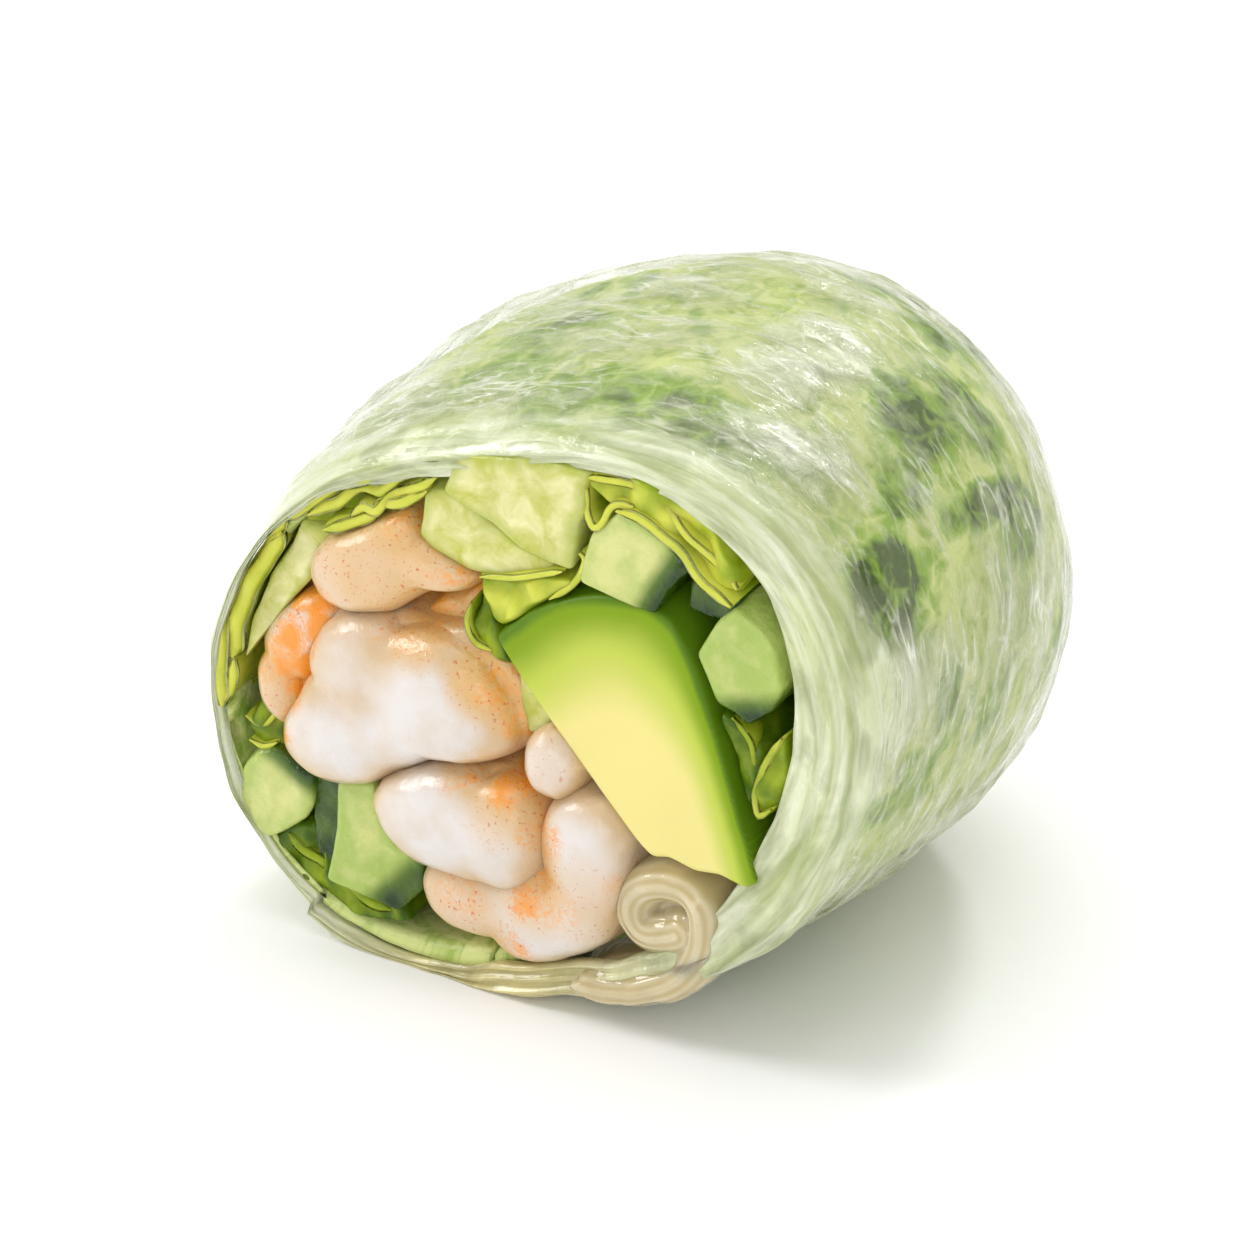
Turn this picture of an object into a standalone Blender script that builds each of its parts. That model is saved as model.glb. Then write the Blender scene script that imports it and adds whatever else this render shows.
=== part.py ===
"""One half of a cut rice paper roll, lying on its side with the cut face towards -Y.

A rice paper wrapper, closed at its far end, is lined with a lettuce leaf and packed with shrimp, an
avocado wedge, cucumber batons, crisp lettuce ribs and folded leaves that run along the roll. Each
piece is first laid out on the cut face, in millimetres across (x) and up from the floor (z), and is
then carried back through the barrel-shaped body. +Z is up, and the roll's length is along Y.
"""

import math

import bmesh
import bpy
import numpy as np

MM = 0.001

# The body: a leaning oval section whose radius swells behind the cut and closes at the far end.
CUT_RADIUS = 23.5
BELLY_RADIUS = 25.5
BELLY_Y = 19.0
LENGTH = 48.3
END_POWER = 2.5
END_ROUNDNESS = 2.2
OVAL = 3.8
OVAL_LEFT_AT_END = 0.2
LEAN = math.radians(23)
SQUARENESS = 0.45
SQUARE_CORNER = math.radians(40)
AXIS_X = 0.3
FLAT_DEPTH = 1.0
DOME_HALF_HEIGHT = 21.0
DOME_DROP = 0.28

# The loose outer end of the rice paper makes a low step along the lower left side.
SEAM_ANGLE = math.radians(-133)
SEAM_STEP = 0.9
SEAM_FADE = math.radians(75)
FOLD_COUNT = 7
FOLD_DEPTH = 1.3
FOLDS_START = 0.72

PAPER_WALL = 0.9
PAPER_WALL_BELOW = 1.2
LEAF_WALL = 1.1
LEAF_WALL_RIGHT = 1.7
LEAF_FROM = math.radians(-26)
LEAF_TO = math.radians(262)
LEAF_FRONT = 0.9
GAP = 0.32
PACKING_GAP = 0.38

# Every piece has its rings at these places along the roll, so neighbours stay apart between them.
STATIONS = (2.0, 12.0, 24.0, 37.0)
OUTER_STATIONS = (2.0, 7.0, 12.0, 18.0, 24.0, 31.0, 37.0, 41.0, 44.0, 46.2, 47.6)
DOME_STATIONS = (41.0, 43.5, 45.2)
AROUND = 48
LEAF_AROUND = 34
STEP = 0.1
FARTHEST = 14.0
LOBE_MELT = 7.0
SMOOTH_ANGLE = math.radians(38)

# The wrapper's rounded lip: how far back its inner and outer edges stand behind its crest.
LIP_INSIDE = 0.35
LIP_OUTSIDE = 0.3

# The rolled-up inner end of the paper, as a spiral strip with a gap between its turns.
CURL_MIDDLE = (12.3, 9.7)
CURL_RADIUS = 3.85
CURL_THICKNESS = 0.95
CURL_TURNS = 1.55
CURL_START = math.radians(-120)
CURL_POINTS = 26
CURL_FRONT = 0.4


def bump(angle, middle, half_width):
    """1 at the middle angle, falling smoothly to 0 at half_width on both sides."""
    away = np.abs((np.asarray(angle) - middle + math.pi) % (2 * math.pi) - math.pi)
    return np.where(away < half_width, 0.5 + 0.5 * np.cos(math.pi * away / half_width), 0.0)


def barrel(y):
    """The mean radius of the body at y."""
    if y <= BELLY_Y:
        return BELLY_RADIUS - (BELLY_RADIUS - CUT_RADIUS) * (1 - y / BELLY_Y) ** 2
    reach = min((y - BELLY_Y) / (LENGTH - BELLY_Y), 1.0)
    return BELLY_RADIUS * (1 - reach**END_POWER) ** (1 / END_ROUNDNESS)


def oval_radius(angle, y):
    """The section's radius without its seam and folds."""
    oval = OVAL * (1 - (1 - OVAL_LEFT_AT_END) * y / LENGTH) * barrel(y) / CUT_RADIUS
    square = SQUARENESS * barrel(y) / CUT_RADIUS
    return (
        barrel(y)
        + oval * np.cos(2 * (np.asarray(angle) - LEAN))
        + square * np.cos(4 * (np.asarray(angle) - SQUARE_CORNER))
    )


def axis_height(y):
    """The height of the section's centre: the body sags onto a flat, and the dome lifts off it."""
    turn = np.linspace(0, 2 * math.pi, 90)
    half_height = -(oval_radius(turn, y) * np.sin(turn)).min()
    if half_height > DOME_HALF_HEIGHT:
        return half_height - FLAT_DEPTH
    return DOME_HALF_HEIGHT - FLAT_DEPTH - DOME_DROP * (DOME_HALF_HEIGHT - half_height)


def section(angle, y, inset=0.0):
    """Points of the section at y, inset millimetres (at the cut face) inside its oval."""
    angle = np.asarray(angle, float)
    radius = oval_radius(angle, y) * (1 - inset / oval_radius(angle, 0.0))
    x = AXIS_X + radius * np.cos(angle)
    z = axis_height(y) + radius * np.sin(angle)
    return np.stack([x, np.full_like(x, y), z], axis=1)


def carry(points, y):
    """Cut-face points (x, z) carried back to the section at y, as the body swells and closes."""
    across = points[:, 0] - AXIS_X
    up = points[:, 1] - axis_height(0.0)
    angle = np.arctan2(up, across)
    depth = np.hypot(across, up) / oval_radius(angle, 0.0)
    radius = depth * oval_radius(angle, y)
    x = AXIS_X + radius * np.cos(angle)
    z = axis_height(y) + radius * np.sin(angle)
    return np.stack([x, np.full_like(x, y), z], axis=1)


def paper_wall(angle):
    """The wrapper's thickness, with its layers piled up underneath."""
    return PAPER_WALL + PAPER_WALL_BELOW * bump(angle, math.radians(-95), math.radians(60))


def leaf_wall(angle):
    """The lining leaf's thickness, folded over on the right."""
    return LEAF_WALL + LEAF_WALL_RIGHT * bump(angle, math.radians(5), math.radians(75))


def room_for_filling(angle):
    """How far from the roll's centre the filling may reach on the cut face."""
    lined = (angle - LEAF_FROM) % (2 * math.pi) < LEAF_TO - LEAF_FROM
    wall = paper_wall(angle) + GAP + np.where(lined, leaf_wall(angle) + GAP, 0.0)
    return oval_radius(angle, 0.0) - wall


class Layout:
    """The filling on the cut face. Each new piece fills its shape up to the pieces laid before it."""

    def __init__(self):
        self.laid = []

    def blocked(self, points):
        across = points[:, 0] - AXIS_X
        up = points[:, 1] - axis_height(0.0)
        hit = np.hypot(across, up) > room_for_filling(np.arctan2(up, across))
        for centre, angles, reaches in self.laid:
            away = points - centre
            reach = np.interp(np.arctan2(away[:, 1], away[:, 0]), angles, reaches)
            hit |= np.hypot(away[:, 0], away[:, 1]) < reach + PACKING_GAP
        return hit

    def keep_clear(self, centre, radius):
        """A round place that later pieces leave free."""
        self.laid.append((centre, np.array((-math.pi, math.pi)), np.array((radius, radius))))

    def lay(self, centre, inside, directions):
        """The outline seen from centre: along each direction, as far as inside() holds and room is."""
        centre = np.array(centre)
        along = np.arange(0.0, FARTHEST, STEP)
        reaches = []
        for direction in directions:
            points = centre + along[:, None] * direction
            stopped = ~inside(points) | self.blocked(points)
            reaches.append(along[max(int(np.argmax(stopped)) - 1, 0)])
        reaches = np.array(reaches)
        lowest = np.minimum(reaches, np.minimum(np.roll(reaches, 1), np.roll(reaches, -1)))
        reaches = 0.7 * reaches + 0.3 * lowest
        if reaches.max() <= 3 * STEP:
            raise ValueError(f"no room for a piece at {centre}")
        reaches = np.maximum(reaches, 2 * STEP)
        angles = np.arctan2(directions[:, 1], directions[:, 0])
        order = np.argsort(angles)
        angles, sorted_reaches = angles[order], reaches[order]
        turn = 2 * math.pi
        angles = np.concatenate([angles[-1:] - turn, angles, angles[:1] + turn])
        sorted_reaches = np.concatenate([sorted_reaches[-1:], sorted_reaches, sorted_reaches[:1]])
        self.laid.append((centre, angles, sorted_reaches))
        return centre + reaches[:, None] * directions, centre


def turned(points, tilt):
    """Points turned by tilt degrees, counterclockwise."""
    c, s = math.cos(math.radians(tilt)), math.sin(math.radians(tilt))
    return points @ np.array([[c, s], [-s, c]])


def lobe_field(points, lobe):
    """Under 1 inside a lobe (x, z, half width, half height, tilt, squareness), over 1 outside."""
    x, z, half_width, half_height, tilt, power = lobe
    local = np.abs(turned(points - np.array([x, z]), -tilt)) / (half_width, half_height)
    return (local**power).sum(axis=1) ** (1 / power)


def lay_lobes(layout, lobes, rays):
    """An outline of one or more rounded lobes that melt into each other, seen from the first."""
    x, z, half_width, half_height, tilt, _ = lobes[0]

    def inside(points):
        field = sum(np.exp(-LOBE_MELT * (lobe_field(points, lobe) - 1)) for lobe in lobes)
        return field > 1.0

    turn = np.linspace(0, 2 * math.pi, rays, endpoint=False)
    stretch = 0.5 * (half_width + half_height)
    spread = np.stack(
        [(half_width + stretch) * np.cos(turn), (half_height + stretch) * np.sin(turn)], axis=1
    )
    directions = turned(spread / np.hypot(spread[:, 0], spread[:, 1])[:, None], tilt)
    return layout.lay((x, z), inside, directions)


def bezier(start, pull_start, pull_end, end, count):
    """Points along one curved side, without its end point."""
    t = np.linspace(0, 1, count, endpoint=False)[:, None]
    corners = [np.array(p, float) for p in (start, pull_start, pull_end, end)]
    weights = ((1 - t) ** 3, 3 * t * (1 - t) ** 2, 3 * t**2 * (1 - t), t**3)
    return sum(weight * corner for weight, corner in zip(weights, corners))


def lay_wedge(layout, rays):
    """The avocado wedge: a tip, a full curved skin side, a short lower end and a flat stone side."""
    tip, shoulder, foot, heel = (-1.0, 26.9), (12.6, 31.2), (19.2, 14.2), (10.2, 14.6)
    sides = (
        bezier(tip, (2.5, 30.6), (8.5, 33.6), shoulder, 12),
        bezier(shoulder, (15.2, 28.2), (17.0, 21.0), foot, 12),
        bezier(foot, (18.2, 13.0), (13.5, 14.2), heel, 8),
        bezier(heel, (7.5, 17.5), (2.0, 23.0), tip, 10),
    )
    outline = np.concatenate(sides)
    centre = np.array((10.2, 23.2))
    away = outline - centre
    angles = np.arctan2(away[:, 1], away[:, 0])
    order = np.argsort(angles)
    reaches = np.hypot(away[:, 0], away[:, 1])[order]
    angles = angles[order]

    def inside(points):
        local = points - centre
        reach = np.interp(np.arctan2(local[:, 1], local[:, 0]), angles, reaches, period=2 * math.pi)
        return np.hypot(local[:, 0], local[:, 1]) < reach

    even = outline[:: max(len(outline) // rays, 1)] - centre
    directions = even / np.hypot(even[:, 0], even[:, 1])[:, None]
    return layout.lay(centre, inside, directions)


def material(name, colour, roughness):
    made = bpy.data.materials.new(name)
    made.use_nodes = True
    shader = made.node_tree.nodes["Principled BSDF"]
    shader.inputs["Base Color"].default_value = (*colour, 1.0)
    shader.inputs["Roughness"].default_value = roughness
    made.diffuse_color = (*colour, 1.0)
    return made


def add_object(name, mesh_maker, look):
    """An object whose mesh is made by mesh_maker(bmesh), in millimetres."""
    bm = bmesh.new()
    mesh_maker(bm)
    bmesh.ops.scale(bm, vec=(MM, MM, MM), verts=bm.verts)
    bmesh.ops.recalc_face_normals(bm, faces=bm.faces)
    mesh = bpy.data.meshes.new(name)
    bm.to_mesh(mesh)
    bm.free()
    mesh.shade_smooth()
    mesh.set_sharp_from_angle(angle=SMOOTH_ANGLE)
    mesh.materials.append(look)
    obj = bpy.data.objects.new(name, mesh)
    bpy.context.scene.collection.objects.link(obj)
    return obj


def add_rings(bm, rings):
    """Closed rings of points joined by faces, each to the next."""
    loops = [[bm.verts.new(point) for point in ring] for ring in rings]
    for near, far in zip(loops, loops[1:]):
        for i in range(len(near)):
            j = (i + 1) % len(near)
            bm.faces.new((near[i], near[j], far[j], far[i]))
    return loops


def cap_with_point(bm, loop, point):
    """A ring closed by a fan of faces round one point."""
    tip = bm.verts.new(point)
    for i in range(len(loop)):
        bm.faces.new((loop[i], loop[(i + 1) % len(loop)], tip))


def add_through_piece(name, laid, look, front, bulge, face):
    """A piece of filling: its outline carried from the cut to the back, with a rounded cut face.

    front is how far the face's rim stands behind the cut (negative is proud of it), bulge is how far
    its middle stands out from the rim, and face lists the face's rings: how wide each is and how far
    along the bulge.
    """
    outline, centre = laid
    rim = carry(outline, 0.0)
    middle = carry(centre[None, :], 0.0)[0]

    def make(bm):
        rings = []
        for spread, rise in face:
            ring = middle + (rim - middle) * spread
            ring[:, 1] = front - bulge * rise
            rings.append(ring)
        rings += [carry(outline, y) for y in STATIONS]
        loops = add_rings(bm, rings)
        cap_with_point(bm, loops[0], (middle[0], front - bulge, middle[2]))
        bm.faces.new(loops[-1])

    return add_object(name, make, look)


def outer_ring(y):
    """The wrapper's outside at y, with the paper's loose end as a step and folds on the far end."""
    angle = np.linspace(0, 2 * math.pi, AROUND, endpoint=False) + SEAM_ANGLE
    past_seam = angle - SEAM_ANGLE
    step = SEAM_STEP * np.clip(1 - past_seam / SEAM_FADE, 0, 1)
    gather = np.clip((y / LENGTH - FOLDS_START) / (1 - FOLDS_START), 0, 1)
    folds = FOLD_DEPTH * gather * np.cos(FOLD_COUNT * angle + 2.2 * gather) * barrel(y) / CUT_RADIUS
    points = section(angle, y)
    radius = oval_radius(angle, y)
    grown = (step * barrel(y) / CUT_RADIUS + folds) / radius
    points[:, 0] += (points[:, 0] - AXIS_X) * grown
    points[:, 2] += (points[:, 2] - axis_height(y)) * grown
    points[:, 2] = np.maximum(points[:, 2], 0.0)
    return points


def add_wrapper(look):
    """The rice paper: a cup, open at the cut, with a rounded lip."""
    angle = np.linspace(0, 2 * math.pi, AROUND, endpoint=False) + SEAM_ANGLE
    wall = paper_wall(angle)

    def make(bm):
        inner = [section(angle, y, wall) for y in reversed(STATIONS + DOME_STATIONS)]
        lip_inside = section(angle, 0.0, wall)
        lip_inside[:, 1] = LIP_INSIDE
        lip_edge = section(angle, 0.0, wall * 0.5)
        lip_edge[:, 2] = np.maximum(lip_edge[:, 2], PAPER_WALL / 2)
        lip_outside = outer_ring(0.0)
        lip_outside[:, 1] = LIP_OUTSIDE
        outer = [outer_ring(y) for y in OUTER_STATIONS]
        for ring in inner + [lip_inside]:
            ring[:, 2] = np.maximum(ring[:, 2], PAPER_WALL)
        loops = add_rings(bm, inner + [lip_inside, lip_edge, lip_outside] + outer)
        bm.faces.new(loops[0])
        cap_with_point(bm, loops[-1], (AXIS_X, LENGTH, axis_height(LENGTH)))

    return add_object("rice_paper_wrapper", make, look)


def add_lining(look):
    """The lettuce leaf that lines the paper, open along the lower right."""
    angle = np.linspace(LEAF_FROM, LEAF_TO, LEAF_AROUND)
    outside = paper_wall(angle) + GAP
    inside = outside + leaf_wall(angle)

    def make(bm):
        places = (LEAF_FRONT,) + STATIONS + DOME_STATIONS[:2]
        rings = []
        for y in places:
            ring = np.concatenate([section(angle, y, outside), section(angle, y, inside)[::-1]])
            rings.append(ring)
        for ring in rings:
            ring[:, 2] = np.maximum(ring[:, 2], PAPER_WALL + GAP)
        loops = add_rings(bm, rings)
        bm.faces.new(loops[0])
        bm.faces.new(loops[-1])

    return add_object("lettuce_lining", make, look)


def add_curl(layout, look):
    """The paper's inner end, rolled up on itself beside the shrimp: a thick strip in a spiral."""
    middle = np.array(CURL_MIDDLE)
    t = np.linspace(0, 1, CURL_POINTS)
    swing = CURL_START + t * CURL_TURNS * 2 * math.pi
    outward = np.stack([np.cos(swing), np.sin(swing)], axis=1)
    radius = CURL_RADIUS - (CURL_THICKNESS + GAP) * CURL_TURNS * t
    outside = middle + radius[:, None] * outward
    inside = middle + (radius - CURL_THICKNESS)[:, None] * outward
    outline = np.concatenate([outside, inside[::-1]])
    layout.keep_clear(middle, CURL_RADIUS)

    def make(bm):
        front = carry(outline, 0.0)
        front[:, 1] = CURL_FRONT
        loops = add_rings(bm, [front] + [carry(outline, y) for y in STATIONS])
        bm.faces.new(loops[0])
        bm.faces.new(loops[-1])

    return add_object("rice_paper_curl", make, look)


# Each filling piece: its node, how far back its face is, its bulge, the rays of its outline, and its
# lobes (x, z, half width, half height, tilt, squareness) on the cut face, in the order of laying.
SHRIMP = (
    (
        "shrimp_middle", -0.6, 2.2, 28,
        (-11.4, 19.8, 6.2, 5.8, -30, 2.2),
        (-15.4, 16.2, 4.8, 3.8, -8, 2.2),
        (-4.6, 21.2, 6.0, 4.4, -24, 2.2),
    ),
    (
        "shrimp_lower_front", -0.8, 2.2, 24,
        (-4.4, 12.4, 7.0, 4.3, -3, 2.5),
        (0.3, 12.2, 2.8, 4.1, 0, 2.2),
    ),
    (
        "shrimp_upper", 0.4, 1.7, 24,
        (-11.6, 29.6, 5.3, 3.6, 10, 2.4),
        (-6.2, 30.6, 4.0, 2.0, -8, 2.2),
        (-9.8, 31.9, 2.7, 1.7, 30, 2.2),
    ),
    (
        "shrimp_left", 0.6, 1.4, 22,
        (-18.6, 22.0, 4.2, 4.2, 20, 2.3),
        (-20.7, 17.8, 2.0, 2.9, 0, 2.2),
    ),
    (
        "shrimp_lower", 0.0, 1.5, 30,
        (3.6, 7.4, 6.4, 4.4, 0, 2.4),
        (-2.6, 6.2, 6.4, 3.2, 0, 2.3),
        (6.6, 12.6, 3.2, 5.6, 8, 2.3),
    ),
    ("shrimp_small_lobe", -0.2, 1.0, 16, (4.0, 18.9, 2.5, 2.5, 0, 2.2)),
    ("shrimp_tail", 1.9, 0.3, 16, (-5.2, 27.6, 3.6, 1.8, 22, 2.2)),
)
CUCUMBER = (
    ("cucumber_top", 0.3, 0.4, 20, (9.2, 34.5, 3.0, 2.9, -33, 5)),
    ("cucumber_right", 0.7, 0.4, 20, (17.3, 29.2, 2.8, 3.9, 12, 4)),
    ("cucumber_right_dark", 1.3, 0.3, 14, (15.2, 33.2, 1.9, 1.4, -20, 3)),
    ("cucumber_bottom_skin", 0.9, 0.3, 14, (-16.1, 9.3, 1.0, 3.5, -6, 3)),
    ("cucumber_left", 0.5, 0.5, 18, (-19.6, 10.2, 3.1, 3.3, 12, 4)),
    ("cucumber_bottom", 0.0, 0.4, 20, (-11.6, 8.3, 3.7, 4.2, -12, 4.5)),
)
RIB = (
    ("lettuce_rib_top", -0.2, 0.5, 20, (0.8, 36.6, 5.4, 2.9, -16, 4)),
    ("lettuce_rib_left", 0.2, 0.5, 20, (-2.8, 33.3, 4.8, 2.0, -18, 3.5)),
    ("lettuce_rib_side", 0.8, 0.4, 16, (-18.2, 27.8, 1.4, 4.2, -38, 3)),
    ("lettuce_scrap_middle", 0.6, 0.3, 12, (1.8, 22.0, 1.2, 1.5, 0, 2.5)),
)
LEAF = (
    ("leaf_curled", 0.2, 0.6, 18, (1.2, 30.7, 3.8, 1.5, 32, 2.5)),
    ("leaf_by_avocado", 0.8, 0.4, 14, (-2.2, 26.6, 1.2, 1.9, 20, 2.3)),
    ("leaf_upper_left", 0.6, 0.6, 18, (-8.2, 35.0, 5.0, 1.7, 30, 3)),
    ("leaf_upper_right", 0.5, 0.6, 18, (12.3, 37.7, 4.4, 1.1, -35, 3)),
    ("leaf_right", 1.0, 0.4, 14, (17.9, 22.9, 1.2, 2.8, 22, 2.6)),
    ("leaf_right_edge", 0.8, 0.5, 14, (20.0, 23.2, 1.0, 2.6, -5, 2.6)),
    ("leaf_left", 0.8, 0.5, 14, (-21.0, 14.6, 1.4, 1.5, 30, 2.5)),
    ("leaf_lower_left", 0.7, 0.5, 16, (-16.4, 5.5, 2.8, 1.3, -28, 2.5)),
)
DOMED = ((0.55, 0.8), (0.88, 0.32), (1.0, 0.0))
FLAT_CUT = ((0.86, 0.75), (1.0, 0.0))


def add_filling(layout, table, look, face):
    for name, front, bulge, rays, *lobes in table:
        laid = lay_lobes(layout, lobes, rays)
        add_through_piece(name, laid, look, front, bulge, face)


def stand_on_origin():
    """Moves everything so that the middle of the underside's box is the origin."""
    objects = list(bpy.context.scene.collection.objects)
    corners = np.array([v.co for obj in objects for v in obj.data.vertices])
    low, high = corners.min(axis=0), corners.max(axis=0)
    shift = (-(low[0] + high[0]) / 2, -(low[1] + high[1]) / 2, -low[2])
    for obj in objects:
        for vertex in obj.data.vertices:
            vertex.co.x += shift[0]
            vertex.co.y += shift[1]
            vertex.co.z += shift[2]


def main():
    for obj in list(bpy.data.objects):
        bpy.data.objects.remove(obj, do_unlink=True)

    rice_paper = material("rice_paper", (0.62, 0.66, 0.46), 0.25)
    lettuce = material("lettuce_leaf", (0.28, 0.48, 0.08), 0.4)
    rib = material("lettuce_rib", (0.62, 0.72, 0.30), 0.35)
    cucumber = material("cucumber_flesh", (0.46, 0.62, 0.22), 0.3)
    avocado = material("avocado_flesh", (0.72, 0.70, 0.20), 0.45)
    shrimp = material("cooked_shrimp", (0.82, 0.66, 0.55), 0.35)

    layout = Layout()
    add_wrapper(rice_paper)
    add_lining(lettuce)
    add_through_piece("avocado_wedge", lay_wedge(layout, 28), avocado, 0.0, 0.5, FLAT_CUT)
    add_curl(layout, rice_paper)
    add_filling(layout, SHRIMP, shrimp, DOMED)
    add_filling(layout, CUCUMBER, cucumber, FLAT_CUT)
    add_filling(layout, RIB, rib, FLAT_CUT)
    add_filling(layout, LEAF, lettuce, FLAT_CUT)
    stand_on_origin()


main()
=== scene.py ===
"""Looks for one half of a cut rice paper roll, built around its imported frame.

The cut face looks towards -Y. Outlines are laid out on it in millimetres, across (x) and up from the
board (z), and every piece is carried back from there through the barrel-shaped body.
"""

import math

import bmesh
import bpy
import numpy as np
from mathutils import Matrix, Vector, noise


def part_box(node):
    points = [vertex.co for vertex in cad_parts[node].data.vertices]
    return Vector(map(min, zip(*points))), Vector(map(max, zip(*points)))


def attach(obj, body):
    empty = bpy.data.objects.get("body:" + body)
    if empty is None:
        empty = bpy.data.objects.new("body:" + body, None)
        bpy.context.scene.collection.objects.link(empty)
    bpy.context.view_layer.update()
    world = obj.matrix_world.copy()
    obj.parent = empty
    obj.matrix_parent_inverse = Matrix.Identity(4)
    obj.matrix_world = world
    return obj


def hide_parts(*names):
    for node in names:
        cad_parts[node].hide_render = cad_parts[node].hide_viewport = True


bl_info = {
    "name": "Rice Paper Roll",
    "version": (1, 0, 0),
    "blender": (4, 5, 0),
    "location": "3D View > Sidebar > Roll",
    "description": "Builds a cut rice paper roll with shrimp, avocado, cucumber and lettuce",
    "category": "Add Mesh",
}

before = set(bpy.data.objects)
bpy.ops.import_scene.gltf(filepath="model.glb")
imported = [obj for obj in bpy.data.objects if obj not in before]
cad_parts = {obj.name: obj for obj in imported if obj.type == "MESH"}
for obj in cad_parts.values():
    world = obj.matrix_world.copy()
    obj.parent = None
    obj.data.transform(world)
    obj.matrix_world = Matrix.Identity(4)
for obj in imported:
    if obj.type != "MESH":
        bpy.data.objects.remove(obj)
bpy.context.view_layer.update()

MM = 0.001
TURN = 2 * math.pi

# The body, as the frame was modelled: a leaning oval that swells behind the cut and closes behind.
CUT_RADIUS = 23.5
BELLY_RADIUS = 25.5
BELLY_Y = 19.0
LENGTH = 48.3
END_POWER = 2.5
END_ROUNDNESS = 2.2
OVAL = 3.8
OVAL_LEFT_AT_END = 0.2
LEAN = math.radians(23)
SQUARENESS = 0.45
SQUARE_CORNER = math.radians(40)
AXIS_X = 0.3
FLAT_DEPTH = 1.0
DOME_HALF_HEIGHT = 21.0
DOME_DROP = 0.28
SEAM_ANGLE = math.radians(-133)
SEAM_STEP = 0.9
SEAM_FADE = math.radians(75)
FOLD_COUNT = 7
FOLDS_START = 0.72

# Where the leaf and the film reach their full length and start to close over the far end.
LINING_END = 47.8
FILM_END = 47.9

WRAPPER_LOW, WRAPPER_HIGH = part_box("rice_paper_wrapper")
ORIGIN = np.array(
    [
        (WRAPPER_LOW.x + WRAPPER_HIGH.x) / 2 - AXIS_X * MM,
        WRAPPER_HIGH.y - LENGTH * MM,
        WRAPPER_LOW.z,
    ]
)


# ---------------------------------------------------------------- colours, numbers and noise


def linear(hex_colour):
    """An sRGB hex colour as linear red, green and blue."""
    parts = [int(hex_colour[i : i + 2], 16) / 255 for i in (1, 3, 5)]
    return tuple(p / 12.92 if p <= 0.04045 else ((p + 0.055) / 1.055) ** 2.4 for p in parts)


def colour(label, description, hex_colour):
    """A colour property whose default is an sRGB hex colour."""
    return bpy.props.FloatVectorProperty(
        name=label, description=description, subtype="COLOR", size=3, min=0, max=1,
        default=linear(hex_colour),
    )


def length_mm(label, description, default, low=0.0, high=60.0):
    """A length property in millimetres."""
    return bpy.props.FloatProperty(
        name=label, description=description + ", in millimetres", default=default, min=low, max=high
    )


def share(label, description, default, low=0.0, high=1.0):
    """A property that is a share of something."""
    return bpy.props.FloatProperty(
        name=label, description=description, default=default, min=low, max=high, subtype="FACTOR"
    )


def smooth(value, low, high):
    """0 below low, 1 above high, and an even curve between."""
    t = np.clip((np.asarray(value, float) - low) / (high - low), 0, 1)
    return t * t * (3 - 2 * t)


def above_board(height):
    """Heights squeezed above the board, so that nothing sinks into it or folds over."""
    return np.where(height < 0.5, 0.5 * np.exp((np.minimum(height, 0.5) - 0.5) / 0.5), height)


def bump(angle, middle, half_width):
    """1 at the middle angle in degrees, falling smoothly to 0 at half_width on both sides."""
    away = np.abs((np.degrees(angle) - middle + 180) % 360 - 180)
    return np.where(away < half_width, 0.5 + 0.5 * np.cos(math.pi * away / half_width), 0.0)


def uneven(points, size, seed=0):
    """Smooth noise, about -1 to 1, with features size millimetres across."""
    shift = np.array((17.3, 5.1, 9.7)) * seed
    return np.array([noise.noise(p) for p in (np.asarray(points) / size + shift).tolist()])


def per_mm(size):
    """A texture scale whose features are size millimetres across."""
    return 1 / (size * MM)


# ---------------------------------------------------------------- the body's shape


def barrel(y):
    """The mean radius of the body at y."""
    near = BELLY_RADIUS - (BELLY_RADIUS - CUT_RADIUS) * (1 - y / BELLY_Y) ** 2
    reach = np.clip((y - BELLY_Y) / (LENGTH - BELLY_Y), 0, 1)
    return np.where(y <= BELLY_Y, near, BELLY_RADIUS * (1 - reach**END_POWER) ** (1 / END_ROUNDNESS))


def oval_radius(angle, y):
    """The section's radius at an angle, in radians, and y."""
    mean = barrel(y)
    oval = OVAL * (1 - (1 - OVAL_LEFT_AT_END) * y / LENGTH) * mean / CUT_RADIUS
    square = SQUARENESS * mean / CUT_RADIUS
    return mean + oval * np.cos(2 * (angle - LEAN)) + square * np.cos(4 * (angle - SQUARE_CORNER))


def axis_height(y):
    """The height of the section's centre at each y."""
    turn = np.linspace(0, TURN, 90)
    y = np.asarray(y, float)
    half_height = -(oval_radius(turn, y[..., None]) * np.sin(turn)).min(axis=-1)
    sagged = half_height - FLAT_DEPTH
    lifted = DOME_HALF_HEIGHT - FLAT_DEPTH - DOME_DROP * (DOME_HALF_HEIGHT - half_height)
    return np.where(half_height > DOME_HALF_HEIGHT, sagged, lifted)


def on_body(angle, y, inset):
    """A point at an angle and y, inset millimetres (at the cut) inside the body's skin."""
    radius = oval_radius(angle, y) * (1 - inset / oval_radius(angle, 0.0))
    return np.stack(
        np.broadcast_arrays(
            AXIS_X + radius * np.cos(angle), y, axis_height(y) + radius * np.sin(angle)
        ),
        axis=-1,
    )


def carry(points, y):
    """Cut-face points (x, z) carried back to y, as the body swells and closes."""
    across = points[:, 0] - AXIS_X
    up = points[:, 1] - axis_height(0.0)
    angle = np.arctan2(up, across)
    y = np.broadcast_to(np.asarray(y, float), angle.shape)
    under_leaf = 1.05 + 1.55 * smooth(y, 0.5, 5.0)
    inset = np.maximum(oval_radius(angle, 0.0) - np.hypot(across, up), under_leaf)
    return on_body(angle, y, inset)


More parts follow.
